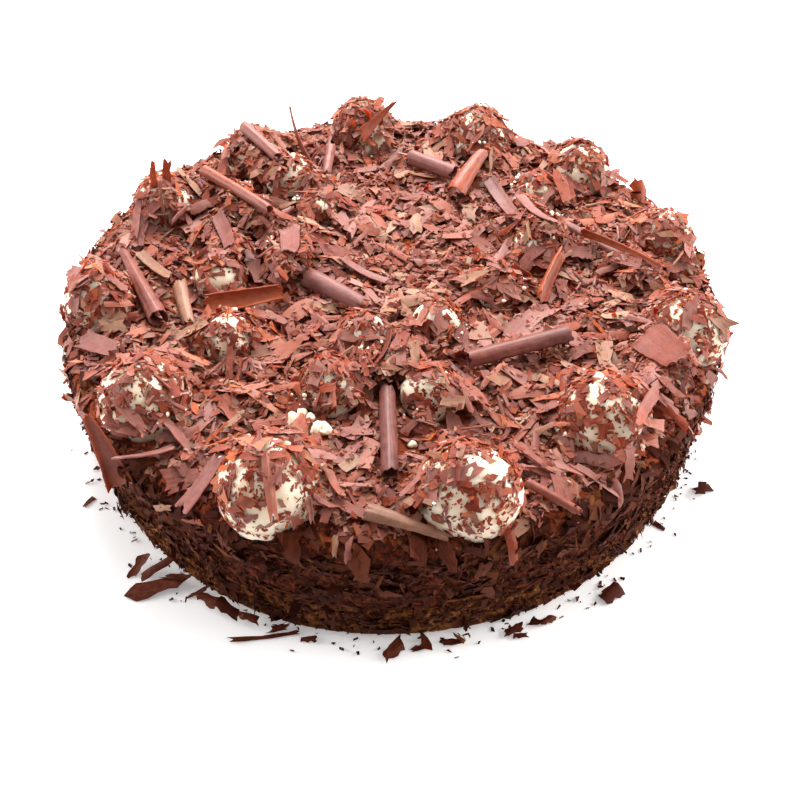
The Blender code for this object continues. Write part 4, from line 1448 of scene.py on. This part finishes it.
# %% Camera
CAMERA_PLACE = (0, -307.15, 307.0)
CAMERA_DOWN = 0.8036
CAMERA_TURN = -0.0108
CAMERA_ROLL = 0.0162
LENS = 45
SENSOR = 36


def look_matrix():
    """The camera's axes: level right and up, turned about the upright, then rolled."""
    cos, sin = math.cos(CAMERA_DOWN), math.sin(CAMERA_DOWN)
    turn = Matrix.Rotation(CAMERA_TURN, 3, "Z")
    forward = turn @ Vector((0, cos, -sin))
    up = turn @ Vector((0, sin, cos))
    right = turn @ Vector((1, 0, 0))
    cos, sin = math.cos(CAMERA_ROLL), math.sin(CAMERA_ROLL)
    right, up = right * cos + up * sin, up * cos - right * sin
    return Matrix((right, up, -forward)).transposed().to_4x4()


camera_data = bpy.data.cameras.new("camera")
camera_data.lens = LENS
camera_data.sensor_width = SENSOR
camera_data.clip_start = 0.01
camera = bpy.data.objects.new("camera", camera_data)
scene.collection.objects.link(camera)
camera.matrix_world = Matrix.Translation(Vector(CAMERA_PLACE) * MM) @ look_matrix()
scene.camera = camera
print(f"camera: {math.hypot(*CAMERA_PLACE):.0f} mm from the middle of the floor")

# %% [markdown]
# The light is soft daylight. Most of it comes from above and behind, so that the side of the
# cake that faces the camera stays in shade, and a lamp at each end lights the left and right.

# %% Lights
LOOK_AT = Vector((0, 0, 0.04))
# name, place in metres, size, power, colour
LAMPS = (
    ("window", (-0.03, 0.68, 0.72), 0.6, 22, (1.0, 0.98, 0.95)),
    ("sky", (0.1, 0.35, 1.5), 1.4, 14, (1.0, 0.99, 0.97)),
    ("right", (1.2, 0.1, 0.45), 0.9, 27, (1.0, 0.98, 0.96)),
    ("left", (-1.2, 0.1, 0.45), 0.9, 18, (1.0, 0.98, 0.96)),
)
for name, place, size, power, colour in LAMPS:
    data = bpy.data.lights.new(name, "AREA")
    data.size = size
    data.energy = power
    data.color = colour
    lamp = bpy.data.objects.new(name, data)
    scene.collection.objects.link(lamp)
    lamp.location = place
    lamp.rotation_euler = (LOOK_AT - lamp.location).to_track_quat("-Z", "Y").to_euler()
world = bpy.data.worlds.new("room")
world.use_nodes = True
background = world.node_tree.nodes["Background"].inputs
background["Color"].default_value = (1.0, 0.985, 0.96, 1)
background["Strength"].default_value = 0.25
scene.world = world
scene.view_settings.view_transform = "Standard"
scene.view_settings.look = "None"
scene.view_settings.exposure = 0.0
print("lamps:", [name for name, *_ in LAMPS])

# %% [markdown]
# ## Finish
#
# The last line counts the triangles of all the pieces.

# %% Count the triangles
meshes = [piece.data for piece in bpy.data.objects if piece.type == "MESH"]
print("triangles in all:", sum(len(mesh.loop_triangles) for mesh in meshes))
